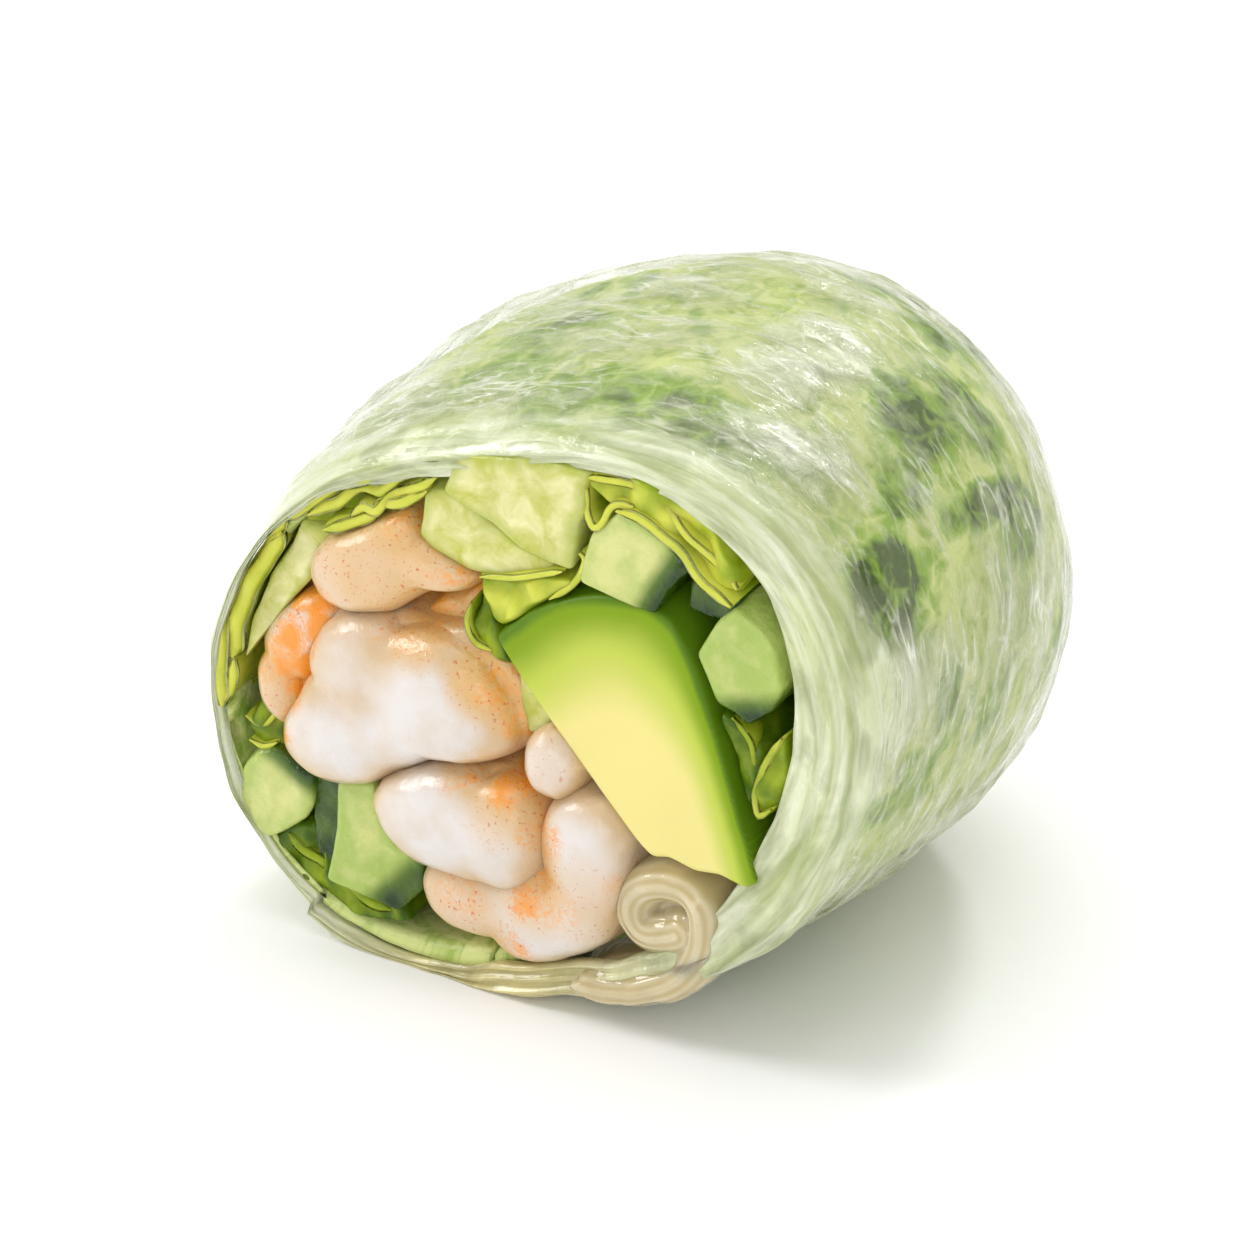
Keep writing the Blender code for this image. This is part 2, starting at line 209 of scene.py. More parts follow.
# ---------------------------------------------------------------- outlines and meshes


def resampled(points, spacing, closed):
    """Points spacing millimetres apart along a line through these ones."""
    points = np.array(points, float)
    if closed:
        points = np.concatenate([points, points[:1]])
    run = np.concatenate([[0], np.cumsum(np.hypot(*np.diff(points, axis=0).T))])
    count = max(int(run[-1] / spacing), 8)
    at = np.linspace(0, run[-1], count, endpoint=not closed)
    return np.stack([np.interp(at, run, points[:, i]) for i in (0, 1)], axis=1)


def rounded(points, spacing, corner, closed=True):
    """A line through these points with its corners rounded over about corner millimetres."""
    line = resampled(points, spacing, closed)
    width = max(int(2.5 * corner / spacing), 1)
    weights = np.exp(-0.5 * (np.arange(-width, width + 1) * spacing / (0.5 * corner)) ** 2)
    weights /= weights.sum()
    mode = "wrap" if closed else "edge"
    padded = np.pad(line, ((width, width), (0, 0)), mode=mode)
    soft = [np.convolve(padded[:, i], weights, mode="valid") for i in (0, 1)]
    return np.stack(soft, axis=1)


def loft(rings, flat_ends=False):
    """Points and faces of closed rings joined in order, with both ends closed.

    A round end is closed by a fan of faces round its middle, and a flat one by a strip that
    joins each side to the other.
    """
    rings = np.asarray(rings)
    count, around = rings.shape[:2]
    points = [rings.reshape(-1, 3)]
    row = np.arange(around)
    near = (np.arange(count - 1) * around)[:, None] + row
    turn = (np.arange(count - 1) * around)[:, None] + np.roll(row, -1)
    faces = np.stack([near, turn, turn + around, near + around], axis=-1).reshape(-1, 4).tolist()
    for tip, first, ring in (
        (count * around, 0, rings[0]),
        (count * around + 1, (count - 1) * around, rings[-1]),
    ):
        points.append(ring.mean(axis=0, keepdims=True))
        if flat_ends:
            half = (around - 1) // 2
            last = first + around - 1
            faces += [(first + i, first + i + 1, last - i - 1, last - i) for i in range(half)]
        else:
            faces += [(first + i, first + (i + 1) % around, tip) for i in range(around)]
    if flat_ends:
        points = points[:1]
    return np.concatenate(points), faces


def add_piece(name, bodies, looks, replaced, look_of_body=None):
    """One object made of closed bodies, each (points in millimetres, faces, fields by name)."""
    points = np.concatenate([body[0] for body in bodies])
    faces, looks_of_faces, start = [], [], 0
    for index, body in enumerate(bodies):
        faces += [tuple(start + i for i in face) for face in body[1]]
        looks_of_faces += [look_of_body[index] if look_of_body else 0] * len(body[1])
        start += len(body[0])
    mesh = bpy.data.meshes.new(name)
    mesh.from_pydata((points * MM + ORIGIN).tolist(), [], faces)
    mesh.polygons.foreach_set("material_index", looks_of_faces)
    bm = bmesh.new()
    bm.from_mesh(mesh)
    bmesh.ops.recalc_face_normals(bm, faces=bm.faces)
    bm.to_mesh(mesh)
    bm.free()
    mesh.shade_smooth()
    for field in sorted({key for body in bodies for key in body[2]}):
        width = max(np.asarray(body[2].get(field, 0)).ndim for body in bodies)
        missing = [np.zeros((len(body[0]), 3)[:width]) for body in bodies]
        stored = np.concatenate([body[2].get(field, none) for body, none in zip(bodies, missing)])
        kind = "FLOAT_VECTOR" if stored.ndim == 2 else "FLOAT"
        attribute = mesh.attributes.new(field, kind, "POINT")
        key = "vector" if stored.ndim == 2 else "value"
        attribute.data.foreach_set(key, stored.astype(np.float32).ravel())
    for look in looks:
        mesh.materials.append(look)
    obj = bpy.data.objects.new(name, mesh)
    bpy.context.scene.collection.objects.link(obj)
    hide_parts(*replaced)
    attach(obj, "root")
    return obj


# ---------------------------------------------------------------- node materials


def node(tree, kind, inputs, out=0, **settings):
    """A node with its settings and inputs, each a value or another node's output. Gives an output."""
    made = tree.nodes.new("ShaderNode" + kind) if isinstance(kind, str) else kind
    for key, value in settings.items():
        setattr(made, key, value)
    for key, value in inputs.items():
        if isinstance(value, bpy.types.NodeSocket):
            tree.links.new(value, made.inputs[key])
        elif hasattr(value, "__len__") and made.inputs[key].type == "RGBA":
            made.inputs[key].default_value = (*value, 1.0)
        else:
            made.inputs[key].default_value = value
    return made.outputs[out]


def new_material(name):
    """An empty node material: the material, its tree and its shader."""
    made = bpy.data.materials.new(name)
    made.use_nodes = True
    return made, made.node_tree, made.node_tree.nodes["Principled BSDF"]


def cooked_shrimp(colours):
    """Boiled shrimp: springy white flesh that light soaks into, its orange skin in veins and specks."""
    made, tree, shader = new_material("cooked_shrimp_halved")
    place = node(tree, "TexCoord", {}, "Object")
    stain = node(tree, "Attribute", {}, "Fac", attribute_name="stain")
    tan = node(tree, "Attribute", {}, "Fac", attribute_name="tan")
    # White flesh, clearer where it is thin, and tan under the skin and in recesses, where the tan is
    # partly painted shade.
    cloud = node(tree, "TexNoise", {"Vector": place, "Scale": per_mm(3.5), "Detail": 3.0})
    vein = node(tree, "TexNoise", {"Vector": place, "Scale": per_mm(1.1), "Detail": 5.0,
                                   "Roughness": 0.65, "Distortion": 1.2})
    ridge = node(tree, "Math", {0: vein, 1: 0.5}, operation="SUBTRACT")
    ridge = node(tree, "Math", {0: ridge}, operation="ABSOLUTE")
    thread = node(tree, "MapRange", {"Value": ridge, "From Max": 0.07,
                                     "To Min": 1.0, "To Max": 0.0})
    grain = node(tree, "TexNoise", {"Vector": place, "Scale": per_mm(0.28), "Detail": 2.0})
    speck = node(tree, "MapRange", {"Value": grain, "From Min": 0.62, "From Max": 0.72})
    thin = node(tree, "Attribute", {}, "Fac", attribute_name="thin")
    clear = node(tree, "MapRange", {"Value": cloud, "From Min": 0.35, "From Max": 0.65,
                                    "To Min": -0.25, "To Max": 0.25})
    clear = node(tree, "Math", {0: clear, 1: thin}, operation="ADD", use_clamp=True)
    flesh = node(tree, "Mix", {0: clear, 6: colours.shrimp_white, 7: colours.shrimp_clear}, 2,
                 data_type="RGBA")
    flesh = node(tree, "Mix", {0: tan, 6: flesh, 7: colours.shrimp_tan_and_shade}, 2, data_type="RGBA")
    # Orange skin: solid where it is strongest, threads round that, and dark specks.
    soaked = node(tree, "MapRange", {"Value": stain, "From Min": 0.4, "From Max": 0.75})
    solid = node(tree, "MapRange", {"Value": stain, "From Min": 0.5, "From Max": 0.85})
    solid = node(tree, "Math", {0: solid, 1: thread}, operation="MAXIMUM")
    solid = node(tree, "MapRange", {"Value": solid, "To Min": 0.25})
    soaked = node(tree, "Math", {0: soaked, 1: solid}, operation="MULTIPLY")
    flesh = node(tree, "Mix", {0: soaked, 6: flesh, 7: colours.shrimp_orange}, 2, data_type="RGBA")
    near = node(tree, "MapRange", {"Value": stain, "From Min": 0.1, "From Max": 0.55})
    threads = node(tree, "Math", {0: thread, 1: near}, operation="MULTIPLY")
    threads = node(tree, "Math", {0: threads, 1: 0.75}, operation="MULTIPLY")
    flesh = node(tree, "Mix", {0: threads, 6: flesh, 7: colours.shrimp_orange}, 2,
                 data_type="RGBA")
    specks = node(tree, "Math", {0: stain, 1: tan}, operation="MAXIMUM")
    specks = node(tree, "MapRange", {"Value": specks, "From Max": 0.5,
                                     "To Max": 0.75})
    specks = node(tree, "Math", {0: specks, 1: speck}, operation="MULTIPLY")
    flesh = node(tree, "Mix", {0: specks, 6: flesh, 7: colours.shrimp_red}, 2, data_type="RGBA")
    swell = node(tree, "TexNoise", {"Vector": place, "Scale": per_mm(2.2), "Detail": 6.0,
                                    "Roughness": 0.62})
    normal = node(tree, "Bump", {"Strength": 0.8, "Distance": 0.3 * MM, "Height": swell})
    node(tree, shader, {
        "Base Color": flesh, "Roughness": 0.28, "IOR": 1.4, "Subsurface Weight": 0.45,
        "Subsurface Radius": (1.0, 0.85, 0.75), "Subsurface Scale": 1.3 * MM,
        "Coat Weight": 0.8, "Coat Roughness": 0.06, "Normal": normal, "Coat Normal": normal,
    })
    return made


def cut_avocado(colours):
    """Ripe avocado, cut clean: a buttery matt flesh, green under the skin and pale by the stone."""
    made, tree, shader = new_material("ripe_avocado_cut")
    place = node(tree, "TexCoord", {}, "Object")
    depth = node(tree, "Attribute", {}, "Fac", attribute_name="depth")
    drift = node(tree, "TexNoise", {"Vector": place, "Scale": per_mm(6.0), "Detail": 3.0})
    drift = node(tree, "MapRange", {"Value": drift, "To Min": -0.06, "To Max": 0.06})
    depth = node(tree, "Math", {0: depth, 1: drift}, operation="ADD")
    steps = (
        (0.02, 0.10, colours.avocado_green),
        (0.10, 0.42, colours.avocado_lime),
        (0.36, 0.85, colours.avocado_yellow),
    )
    flesh = colours.avocado_rim
    for low, high, next_colour in steps:
        blend = node(tree, "MapRange", {"Value": depth, "From Min": low, "From Max": high},
                     interpolation_type="SMOOTHSTEP")
        flesh = node(tree, "Mix", {0: blend, 6: flesh, 7: next_colour}, 2, data_type="RGBA")
    smear = node(tree, "TexNoise", {"Vector": place, "Scale": per_mm(2.2), "Detail": 5.0})
    normal = node(tree, "Bump", {"Strength": 0.25, "Distance": 0.2 * MM, "Height": smear})
    node(tree, shader, {
        "Base Color": flesh, "Roughness": 0.42, "IOR": 1.45, "Subsurface Weight": 0.25,
        "Subsurface Radius": (1.0, 0.9, 0.3), "Subsurface Scale": 1.2 * MM,
        "Specular IOR Level": 0.25, "Coat Weight": 0.0, "Normal": normal, "Coat Normal": normal,
    })
    return made


def cut_cucumber(colours):
    """Raw cucumber, sliced: wet, see-through flesh with paler cells, and a dark waxy skin."""
    made, tree, shader = new_material("raw_cucumber_sliced")
    place = node(tree, "TexCoord", {}, "Object")
    skin = node(tree, "Attribute", {}, "Fac", attribute_name="skin")
    pale = node(tree, "Attribute", {}, "Fac", attribute_name="pale")
    cells = node(tree, "TexNoise", {"Vector": place, "Scale": per_mm(1.8), "Detail": 5.0,
                                    "Roughness": 0.6})
    cells = node(tree, "MapRange", {"Value": cells, "From Min": 0.3, "From Max": 0.7,
                                    "To Min": -0.35, "To Max": 0.35})
    cells = node(tree, "Math", {0: cells, 1: pale}, operation="ADD", use_clamp=True)
    flesh = node(tree, "Mix", {0: cells, 6: colours.cucumber_flesh, 7: colours.cucumber_pale}, 2,
                 data_type="RGBA")
    under = node(tree, "MapRange", {"Value": skin, "From Min": 0.1, "From Max": 0.6})
    flesh = node(tree, "Mix", {0: under, 6: flesh, 7: colours.cucumber_under_skin}, 2,
                 data_type="RGBA")
    rind = node(tree, "MapRange", {"Value": skin, "From Min": 0.6, "From Max": 0.95})
    flesh = node(tree, "Mix", {0: rind, 6: flesh, 7: colours.cucumber_skin}, 2, data_type="RGBA")
    wet = node(tree, "TexNoise", {"Vector": place, "Scale": per_mm(1.5), "Detail": 5.0})
    normal = node(tree, "Bump", {"Strength": 0.8, "Distance": 0.5 * MM, "Height": wet})
    node(tree, shader, {
        "Base Color": flesh, "Roughness": 0.2, "IOR": 1.36, "Subsurface Weight": 0.35,
        "Subsurface Radius": (0.8, 1.0, 0.4), "Subsurface Scale": 1.5 * MM,
        "Specular IOR Level": 0.3, "Coat Weight": 0.45, "Coat Roughness": 0.05,
        "Normal": normal, "Coat Normal": normal,
    })
    return made


def cut_rib(colours):
    """The crisp white rib of a lettuce leaf, snapped: watery, with fine threads along it."""
    made, tree, shader = new_material("lettuce_rib_snapped")
    place = node(tree, "TexCoord", {}, "Object")
    rim = node(tree, "Attribute", {}, "Fac", attribute_name="rim")
    cells = node(tree, "TexNoise", {"Vector": place, "Scale": per_mm(2.4), "Detail": 5.0,
                                    "Roughness": 0.6, "Distortion": 0.6})
    cells = node(tree, "MapRange", {"Value": cells, "From Min": 0.32, "From Max": 0.68})
    flesh = node(tree, "Mix", {0: cells, 6: colours.rib_green, 7: colours.rib_pale}, 2,
                 data_type="RGBA")
    rim = node(tree, "MapRange", {"Value": rim, "To Max": 0.55})
    flesh = node(tree, "Mix", {0: rim, 6: flesh, 7: colours.rib_edge}, 2, data_type="RGBA")
    wet = node(tree, "TexNoise", {"Vector": place, "Scale": per_mm(1.3), "Detail": 5.0})
    normal = node(tree, "Bump", {"Strength": 0.5, "Distance": 0.25 * MM, "Height": wet})
    node(tree, shader, {
        "Base Color": flesh, "Roughness": 0.28, "IOR": 1.36, "Subsurface Weight": 0.35,
        "Subsurface Radius": (0.9, 1.0, 0.4), "Subsurface Scale": 1.5 * MM,
        "Specular IOR Level": 0.3, "Coat Weight": 0.4, "Coat Roughness": 0.06,
        "Normal": normal, "Coat Normal": normal,
    })
    return made


def lettuce_leaf(colours):
    """A thin frilled lettuce leaf, coloured by its lit field of painted light and shade: painted shade
    darkens it in its folds and back into the roll, and its front edges are painted light and
    yellow-green.
    """
    made, tree, shader = new_material("lettuce_leaf_folded")
    place = node(tree, "TexCoord", {}, "Object")
    # The lit field is painted light and shade, varied by the blisters.
    lit = node(tree, "Attribute", {}, "Fac", attribute_name="lit")
    blister = node(tree, "TexNoise", {"Vector": place, "Scale": per_mm(2.0), "Detail": 4.0})
    drift = node(tree, "MapRange", {"Value": blister, "From Min": 0.3, "From Max": 0.7,
                                    "To Min": -0.2, "To Max": 0.2})
    lit = node(tree, "Math", {0: lit, 1: drift}, operation="ADD", use_clamp=True)
    low = node(tree, "MapRange", {"Value": lit, "From Max": 0.5})
    leaf = node(tree, "Mix", {0: low, 6: colours.leaf_dark_painted_shade, 7: colours.leaf_green}, 2,
                data_type="RGBA")
    high = node(tree, "MapRange", {"Value": lit, "From Min": 0.5, "From Max": 1.0})
    leaf = node(tree, "Mix", {0: high, 6: leaf, 7: colours.leaf_pale_painted_light}, 2, data_type="RGBA")
    normal = node(tree, "Bump", {"Strength": 0.5, "Distance": 0.3 * MM, "Height": blister})
    node(tree, shader, {
        "Base Color": leaf, "Roughness": 0.36, "IOR": 1.4, "Subsurface Weight": 0.3,
        "Subsurface Radius": (0.6, 1.0, 0.2), "Subsurface Scale": 1.0 * MM,
        "Specular IOR Level": 0.25, "Coat Weight": 0.15, "Coat Roughness": 0.1,
        "Normal": normal, "Coat Normal": normal,
    })
    return made


def lining_leaf(colours):
    """Lettuce pressed flat under wet rice paper: pale ribs between patches of leaf green."""
    made, tree, shader = new_material("lettuce_leaf_pressed")
    place = node(tree, "TexCoord", {}, "Object")
    tone = node(tree, "Attribute", {}, "Fac", attribute_name="tone")
    weave = node(tree, "Attribute", {}, "Vector", attribute_name="around")
    # How dark it is: small flecks and a net of paler veins over the broad tone.
    flecks = node(tree, "TexNoise", {"Vector": weave, "Scale": 0.55, "Detail": 4.0,
                                     "Roughness": 0.65, "Distortion": 0.8})
    flecks = node(tree, "MapRange", {"Value": flecks, "From Min": 0.36, "From Max": 0.64,
                                     "To Min": -0.18, "To Max": 0.2})
    warp = node(tree, "TexNoise", {"Vector": weave, "Scale": 0.3, "Detail": 3.0}, "Color")
    warp = node(tree, "VectorMath", {0: warp, "Scale": 3.5}, operation="SCALE")
    warp = node(tree, "VectorMath", {0: weave, 1: warp}, operation="ADD")
    veins = node(tree, "TexVoronoi", {"Vector": warp, "Scale": 0.26},
                 feature="DISTANCE_TO_EDGE")
    veins = node(tree, "MapRange", {"Value": veins, "From Max": 0.09,
                                    "To Min": -0.22, "To Max": 0.0})
    tone = node(tree, "Math", {0: tone, 1: flecks}, operation="ADD")
    tone = node(tree, "Math", {0: tone, 1: veins}, operation="ADD", use_clamp=True)
    low = node(tree, "MapRange", {"Value": tone, "From Min": 0.1, "From Max": 0.5})
    leaf = node(tree, "Mix", {0: low, 6: colours.lining_pale, 7: colours.lining_green}, 2,
                data_type="RGBA")
    high = node(tree, "MapRange", {"Value": tone, "From Min": 0.55, "From Max": 1.0})
    leaf = node(tree, "Mix", {0: high, 6: leaf, 7: colours.lining_dark}, 2, data_type="RGBA")
    grain = node(tree, "TexNoise", {"Vector": place, "Scale": per_mm(1.2), "Detail": 4.0})
    normal = node(tree, "Bump", {"Strength": 0.6, "Distance": 0.3 * MM, "Height": grain})
    node(tree, shader, {
        "Base Color": leaf, "Roughness": 0.4, "IOR": 1.4, "Normal": normal, "Coat Normal": normal,
    })
    return made


def wet_rice_paper(colours, sizes):
    """Softened rice paper: a milky, wet film, its wrinkles drawn round the roll by the wrapping."""
    made, tree, shader = new_material("rice_paper_softened")
    weave = node(tree, "Attribute", {}, "Vector", attribute_name="around")
    milk = node(tree, "Attribute", {}, "Fac", attribute_name="milk")
    lip = node(tree, "Attribute", {}, "Fac", attribute_name="lip")
    under = node(tree, "Attribute", {}, "Fac", attribute_name="under")
    # How milky it is: streaks, patches, the layers of the lip, and more where it is seen aslant.
    drawn = node(tree, "Mapping", {"Vector": weave, "Scale": (0.4, 1.0, 1.0),
                                   "Rotation": (0.0, 0.0, math.radians(18))})
    streaks = node(tree, "TexNoise", {"Vector": drawn, "Scale": 0.32, "Detail": 5.0,
                                      "Roughness": 0.6, "Distortion": 1.6})
    spread = node(tree, "MapRange", {"Value": streaks, "From Min": 0.4, "From Max": 0.68,
                                     "To Min": -0.1, "To Max": 0.24})
    patches = node(tree, "TexNoise", {"Vector": weave, "Scale": 0.13, "Detail": 4.0})
    patches = node(tree, "MapRange", {"Value": patches, "From Min": 0.35, "From Max": 0.65,
                                      "To Min": -0.12, "To Max": 0.12})
    cover = node(tree, "Math", {0: milk, 1: spread}, operation="ADD")
    cover = node(tree, "Math", {0: cover, 1: patches}, operation="ADD")
    cover = node(tree, "Math", {0: cover, 1: 0.05}, operation="MAXIMUM")
    rim_lines = node(tree, "Mapping", {"Vector": weave, "Scale": (0.09, 1.0, 1.0)})
    rim_lines = node(tree, "TexNoise", {"Vector": rim_lines, "Scale": 1.0, "Detail": 2.0,
                                        "Roughness": 0.5, "Distortion": 0.5})
    rim_lines = node(tree, "MapRange", {"Value": rim_lines, "From Min": 0.3, "From Max": 0.7})
    lifted = node(tree, "MapRange", {"Value": rim_lines, "To Min": sizes.lip_cover - 0.2,
                                     "To Max": sizes.lip_cover + 0.1})
    lifted = node(tree, "Math", {0: lifted, 1: lip}, operation="MULTIPLY")
    cover = node(tree, "Math", {0: cover, 1: lifted}, operation="ADD")
    facing = node(tree, "LayerWeight", {"Blend": 0.5}, "Facing")
    slanted = node(tree, "MapRange", {"Value": facing, "From Min": 0.62, "From Max": 1.0,
                                      "To Max": 0.7})
    cover = node(tree, "Math", {0: cover, 1: slanted}, operation="ADD")
    cover = node(tree, "Math", {0: cover, 1: 0.97}, operation="MINIMUM")
    # Painted highlights: thin creases painted near white and milkier, as if they catch the light.
    crease = node(tree, "Mapping", {"Vector": weave, "Scale": (0.28, 1.0, 1.0),
                                    "Rotation": (0.0, 0.0, math.radians(30))})
    crease = node(tree, "TexNoise", {"Vector": crease, "Scale": 0.75, "Detail": 2.0,
                                     "Roughness": 0.5, "Distortion": 0.45})
    crease = node(tree, "Math", {0: crease, 1: 0.5}, operation="SUBTRACT")
    crease = node(tree, "Math", {0: crease}, operation="ABSOLUTE")
    crease = node(tree, "MapRange", {"Value": crease, "From Min": 0.004, "From Max": 0.055,
                                     "To Min": 1.0, "To Max": 0.0})
    caught = node(tree, "TexNoise", {"Vector": weave, "Scale": 0.24, "Detail": 3.0})
    caught = node(tree, "MapRange", {"Value": caught, "From Min": 0.42, "From Max": 0.62})
    painted_glint = node(tree, "Math", {0: crease, 1: caught}, operation="MULTIPLY")
    open_film = node(tree, "MapRange", {"Value": lip, "To Min": 0.42, "To Max": 0.12})
    painted_glint = node(tree, "Math", {0: painted_glint, 1: open_film}, operation="MULTIPLY")
    cover = node(tree, "Math", {0: cover, 1: painted_glint}, operation="ADD", use_clamp=True)
    # Colour and relief.
    pale = node(tree, "MapRange", {"Value": streaks, "From Min": 0.3, "From Max": 0.7})
    film = node(tree, "Mix", {0: pale, 6: colours.film_green, 7: colours.film_white}, 2,
                data_type="RGBA")
    film = node(tree, "Mix", {0: painted_glint, 6: film, 7: colours.film_painted_glint}, 2, data_type="RGBA")
    edge = node(tree, "Mix", {0: rim_lines, 6: colours.lip_green, 7: colours.lip_white}, 2,
                data_type="RGBA")
    film = node(tree, "Mix", {0: lip, 6: film, 7: edge}, 2, data_type="RGBA")
    film = node(tree, "Mix", {0: under, 6: film, 7: colours.lip_under}, 2, data_type="RGBA")
    crinkle = node(tree, "Mapping", {"Vector": weave, "Scale": (0.55, 1.0, 1.0),
                                     "Rotation": (0.0, 0.0, math.radians(-24))})
    crinkle = node(tree, "TexNoise", {"Vector": crinkle, "Scale": 0.7, "Detail": 4.0,
                                      "Roughness": 0.58, "Distortion": 1.0})
    calm = node(tree, "MapRange", {"Value": lip, "To Min": 0.9, "To Max": 0.25})
    rough = node(tree, "Bump", {"Strength": calm, "Distance": 0.65 * MM, "Height": crinkle})
    normal = node(tree, "Bump", {"Strength": calm, "Distance": 1.2 * MM, "Height": streaks,
                                 "Normal": rough})
    node(tree, shader, {
        "Base Color": film, "Roughness": 0.3, "IOR": 1.45, "Alpha": cover,
        "Coat Weight": 0.9, "Coat Roughness": 0.1, "Normal": normal,
        "Coat Normal": rough,
    })
    return made


def clear_rice_paper(colours):
    """The inner face of the same film, almost clear where it clings to the leaf."""
    made, tree, shader = new_material("rice_paper_inner_face")
    place = node(tree, "TexCoord", {}, "Object")
    haze = node(tree, "TexNoise", {"Vector": place, "Scale": per_mm(6.0), "Detail": 3.0})
    cover = node(tree, "MapRange", {"Value": haze, "To Max": 0.12})
    node(tree, shader, {"Base Color": colours.film_white, "Roughness": 0.4, "Alpha": cover})
    return made


def rolled_rice_paper(colours):
    """Several layers of soft rice paper rolled together: cloudy, wet and jelly-like."""
    made, tree, shader = new_material("rice_paper_rolled")
    place = node(tree, "TexCoord", {}, "Object")
    layer = node(tree, "Attribute", {}, "Fac", attribute_name="layer")
    cloud = node(tree, "TexNoise", {"Vector": place, "Scale": per_mm(2.5), "Detail": 4.0})
    rings = node(tree, "Math", {0: layer, 1: TURN * 2.5}, operation="MULTIPLY")
    rings = node(tree, "Math", {0: rings}, operation="SINE")
    rings = node(tree, "MapRange", {"Value": rings, "From Min": -1.0, "From Max": 1.0})
    mixed = node(tree, "Math", {0: rings, 1: cloud}, operation="MULTIPLY")
    paper = node(tree, "Mix", {0: mixed, 6: colours.curl_deep, 7: colours.curl_pale}, 2,
                 data_type="RGBA")
    height = node(tree, "Math", {0: rings, 1: cloud}, operation="ADD")
    normal = node(tree, "Bump", {"Strength": 0.35, "Distance": 0.25 * MM, "Height": height})
    node(tree, shader, {
        "Base Color": paper, "Roughness": 0.2, "IOR": 1.42, "Subsurface Weight": 0.6,
        "Subsurface Radius": (1.0, 0.9, 0.7), "Subsurface Scale": 2.0 * MM,
        "Specular IOR Level": 0.35, "Coat Weight": 0.8, "Coat Roughness": 0.05,
        "Normal": normal, "Coat Normal": normal,
    })
    return made


def white_board(colours):
    """A matt white board, so that only the roll's soft shadow shows on it."""
    made, tree, shader = new_material("white_board_matt")
    node(tree, shader, {"Base Color": colours.board, "Roughness": 0.85, "IOR": 1.45})
    return made


# ---------------------------------------------------------------- properties


class RollSizes(bpy.types.PropertyGroup):
    """Sizes of the roll's fine surfaces."""

    face_grid: length_mm("Face grid", "Distance between points on a cut face", 0.22, 0.1, 2)
    film_around: bpy.props.IntProperty(
        name="Film around", description="Points round the rice paper", default=420, min=48)
    film_along: bpy.props.IntProperty(
        name="Film along", description="Points along the rice paper", default=170, min=20)
    film_wrinkle: length_mm("Film wrinkle", "Height of the rice paper's soft wrinkles", 0.42)
    fold_depth: length_mm("Fold depth", "Depth of the gathers on the closed end", 1.3)
    lip_cover: share("Lip cover", "How much milkier the rolled lip is than the film", 0.6)
    filling_back: length_mm("Filling back", "How far back the filling runs", 37.0)
    light: bpy.props.FloatProperty(
        name="Key light", description="Power of the key light", default=13.0, min=0, unit="POWER")


class RollColours(bpy.types.PropertyGroup):
    """Colours of the roll and its board."""

    shrimp_white: colour("Shrimp white", "Cooked shrimp flesh", "#dbd5d1")
    shrimp_clear: colour("Shrimp clear", "Thin, clearer flesh", "#d0b590")
    # Shrimp tan also stands for painted shade on recessed flesh.
    shrimp_tan_and_shade: colour("Shrimp tan", "Flesh under the skin", "#d8ac66")
    shrimp_orange: colour("Shrimp orange", "Orange skin of the shrimp", "#ec9410")
    shrimp_red: colour("Shrimp red", "Darkest specks of the skin", "#c44f0a")
    avocado_rim: colour("Avocado rim", "Dark line under the skin", "#55780c")
    avocado_green: colour("Avocado green", "Green flesh next to the skin", "#7e9c06")
    avocado_lime: colour("Avocado lime", "Yellow-green flesh", "#bcc950")
    avocado_yellow: colour("Avocado yellow", "Pale flesh by the stone", "#e6da8b")
    cucumber_flesh: colour("Cucumber flesh", "Watery flesh", "#a4b95c")
    cucumber_pale: colour("Cucumber pale", "Pale cells", "#d0d287")
    cucumber_under_skin: colour("Cucumber under skin", "Green under the skin", "#55701a")
    cucumber_skin: colour("Cucumber skin", "Dark waxy skin", "#163506")
    rib_green: colour("Rib green", "Watery rib", "#b5b744")
    rib_pale: colour("Rib pale", "Pale rib", "#e2dfa5")
    rib_edge: colour("Rib edge", "Green edge of the rib", "#9aa832")
    # Leaf dark and leaf pale also serve as the painted shade and painted light of the folded leaves.
    leaf_dark_painted_shade: colour("Leaf dark", "Leaf deep in its folds", "#3d5c08")
    leaf_green: colour("Leaf green", "Leaf", "#8ca019")
    leaf_pale_painted_light: colour("Leaf pale", "Lit leaf edge", "#c9cd4d")
    lining_pale: colour("Lining pale", "Pale leaf under the film", "#cad285")
    lining_green: colour("Lining green", "Leaf green under the film", "#86a736")
    lining_dark: colour("Lining dark", "Dark leaf under the film", "#36500a")
    film_white: colour("Film white", "Milky rice paper", "#dadcc2")
    film_painted_glint: colour("Film glint", "Creases of the film that catch the light", "#f6f7ee")
    # Film glint is a painted highlight colour for the film's creases.
    film_green: colour("Film green", "Thin rice paper over leaf", "#c6ce9a")
    lip_white: colour("Lip white", "Streaks of the lip", "#dfe3c6")
    lip_green: colour("Lip green", "Lip over leaf", "#bcc687")
    lip_under: colour("Lip under", "Layers piled up underneath", "#d6c98a")
    curl_pale: colour("Curl pale", "Cloudy rolled paper", "#d9cfb0")
    curl_deep: colour("Curl deep", "Clear rolled paper", "#bba97c")
    board: colour("Board", "White board", "#fafafa")


# ---------------------------------------------------------------- fillings


def lobe_heights(points, lobes):
    """How far rounded lobes (x, z, half width, half height, tilt, height) stand up, melted together."""
    total = np.zeros(len(points))
    for x, z, half_width, half_height, tilt, height in lobes:
        c, s = math.cos(math.radians(tilt)), math.sin(math.radians(tilt))
        away = points - (x, z)
        along = (away @ (c, s)) / half_width
        across = (away @ (-s, c)) / half_height
        dome = height * np.sqrt(np.clip(1 - along**2 - across**2, 0, 1))
        total += dome**5
    return total**0.2


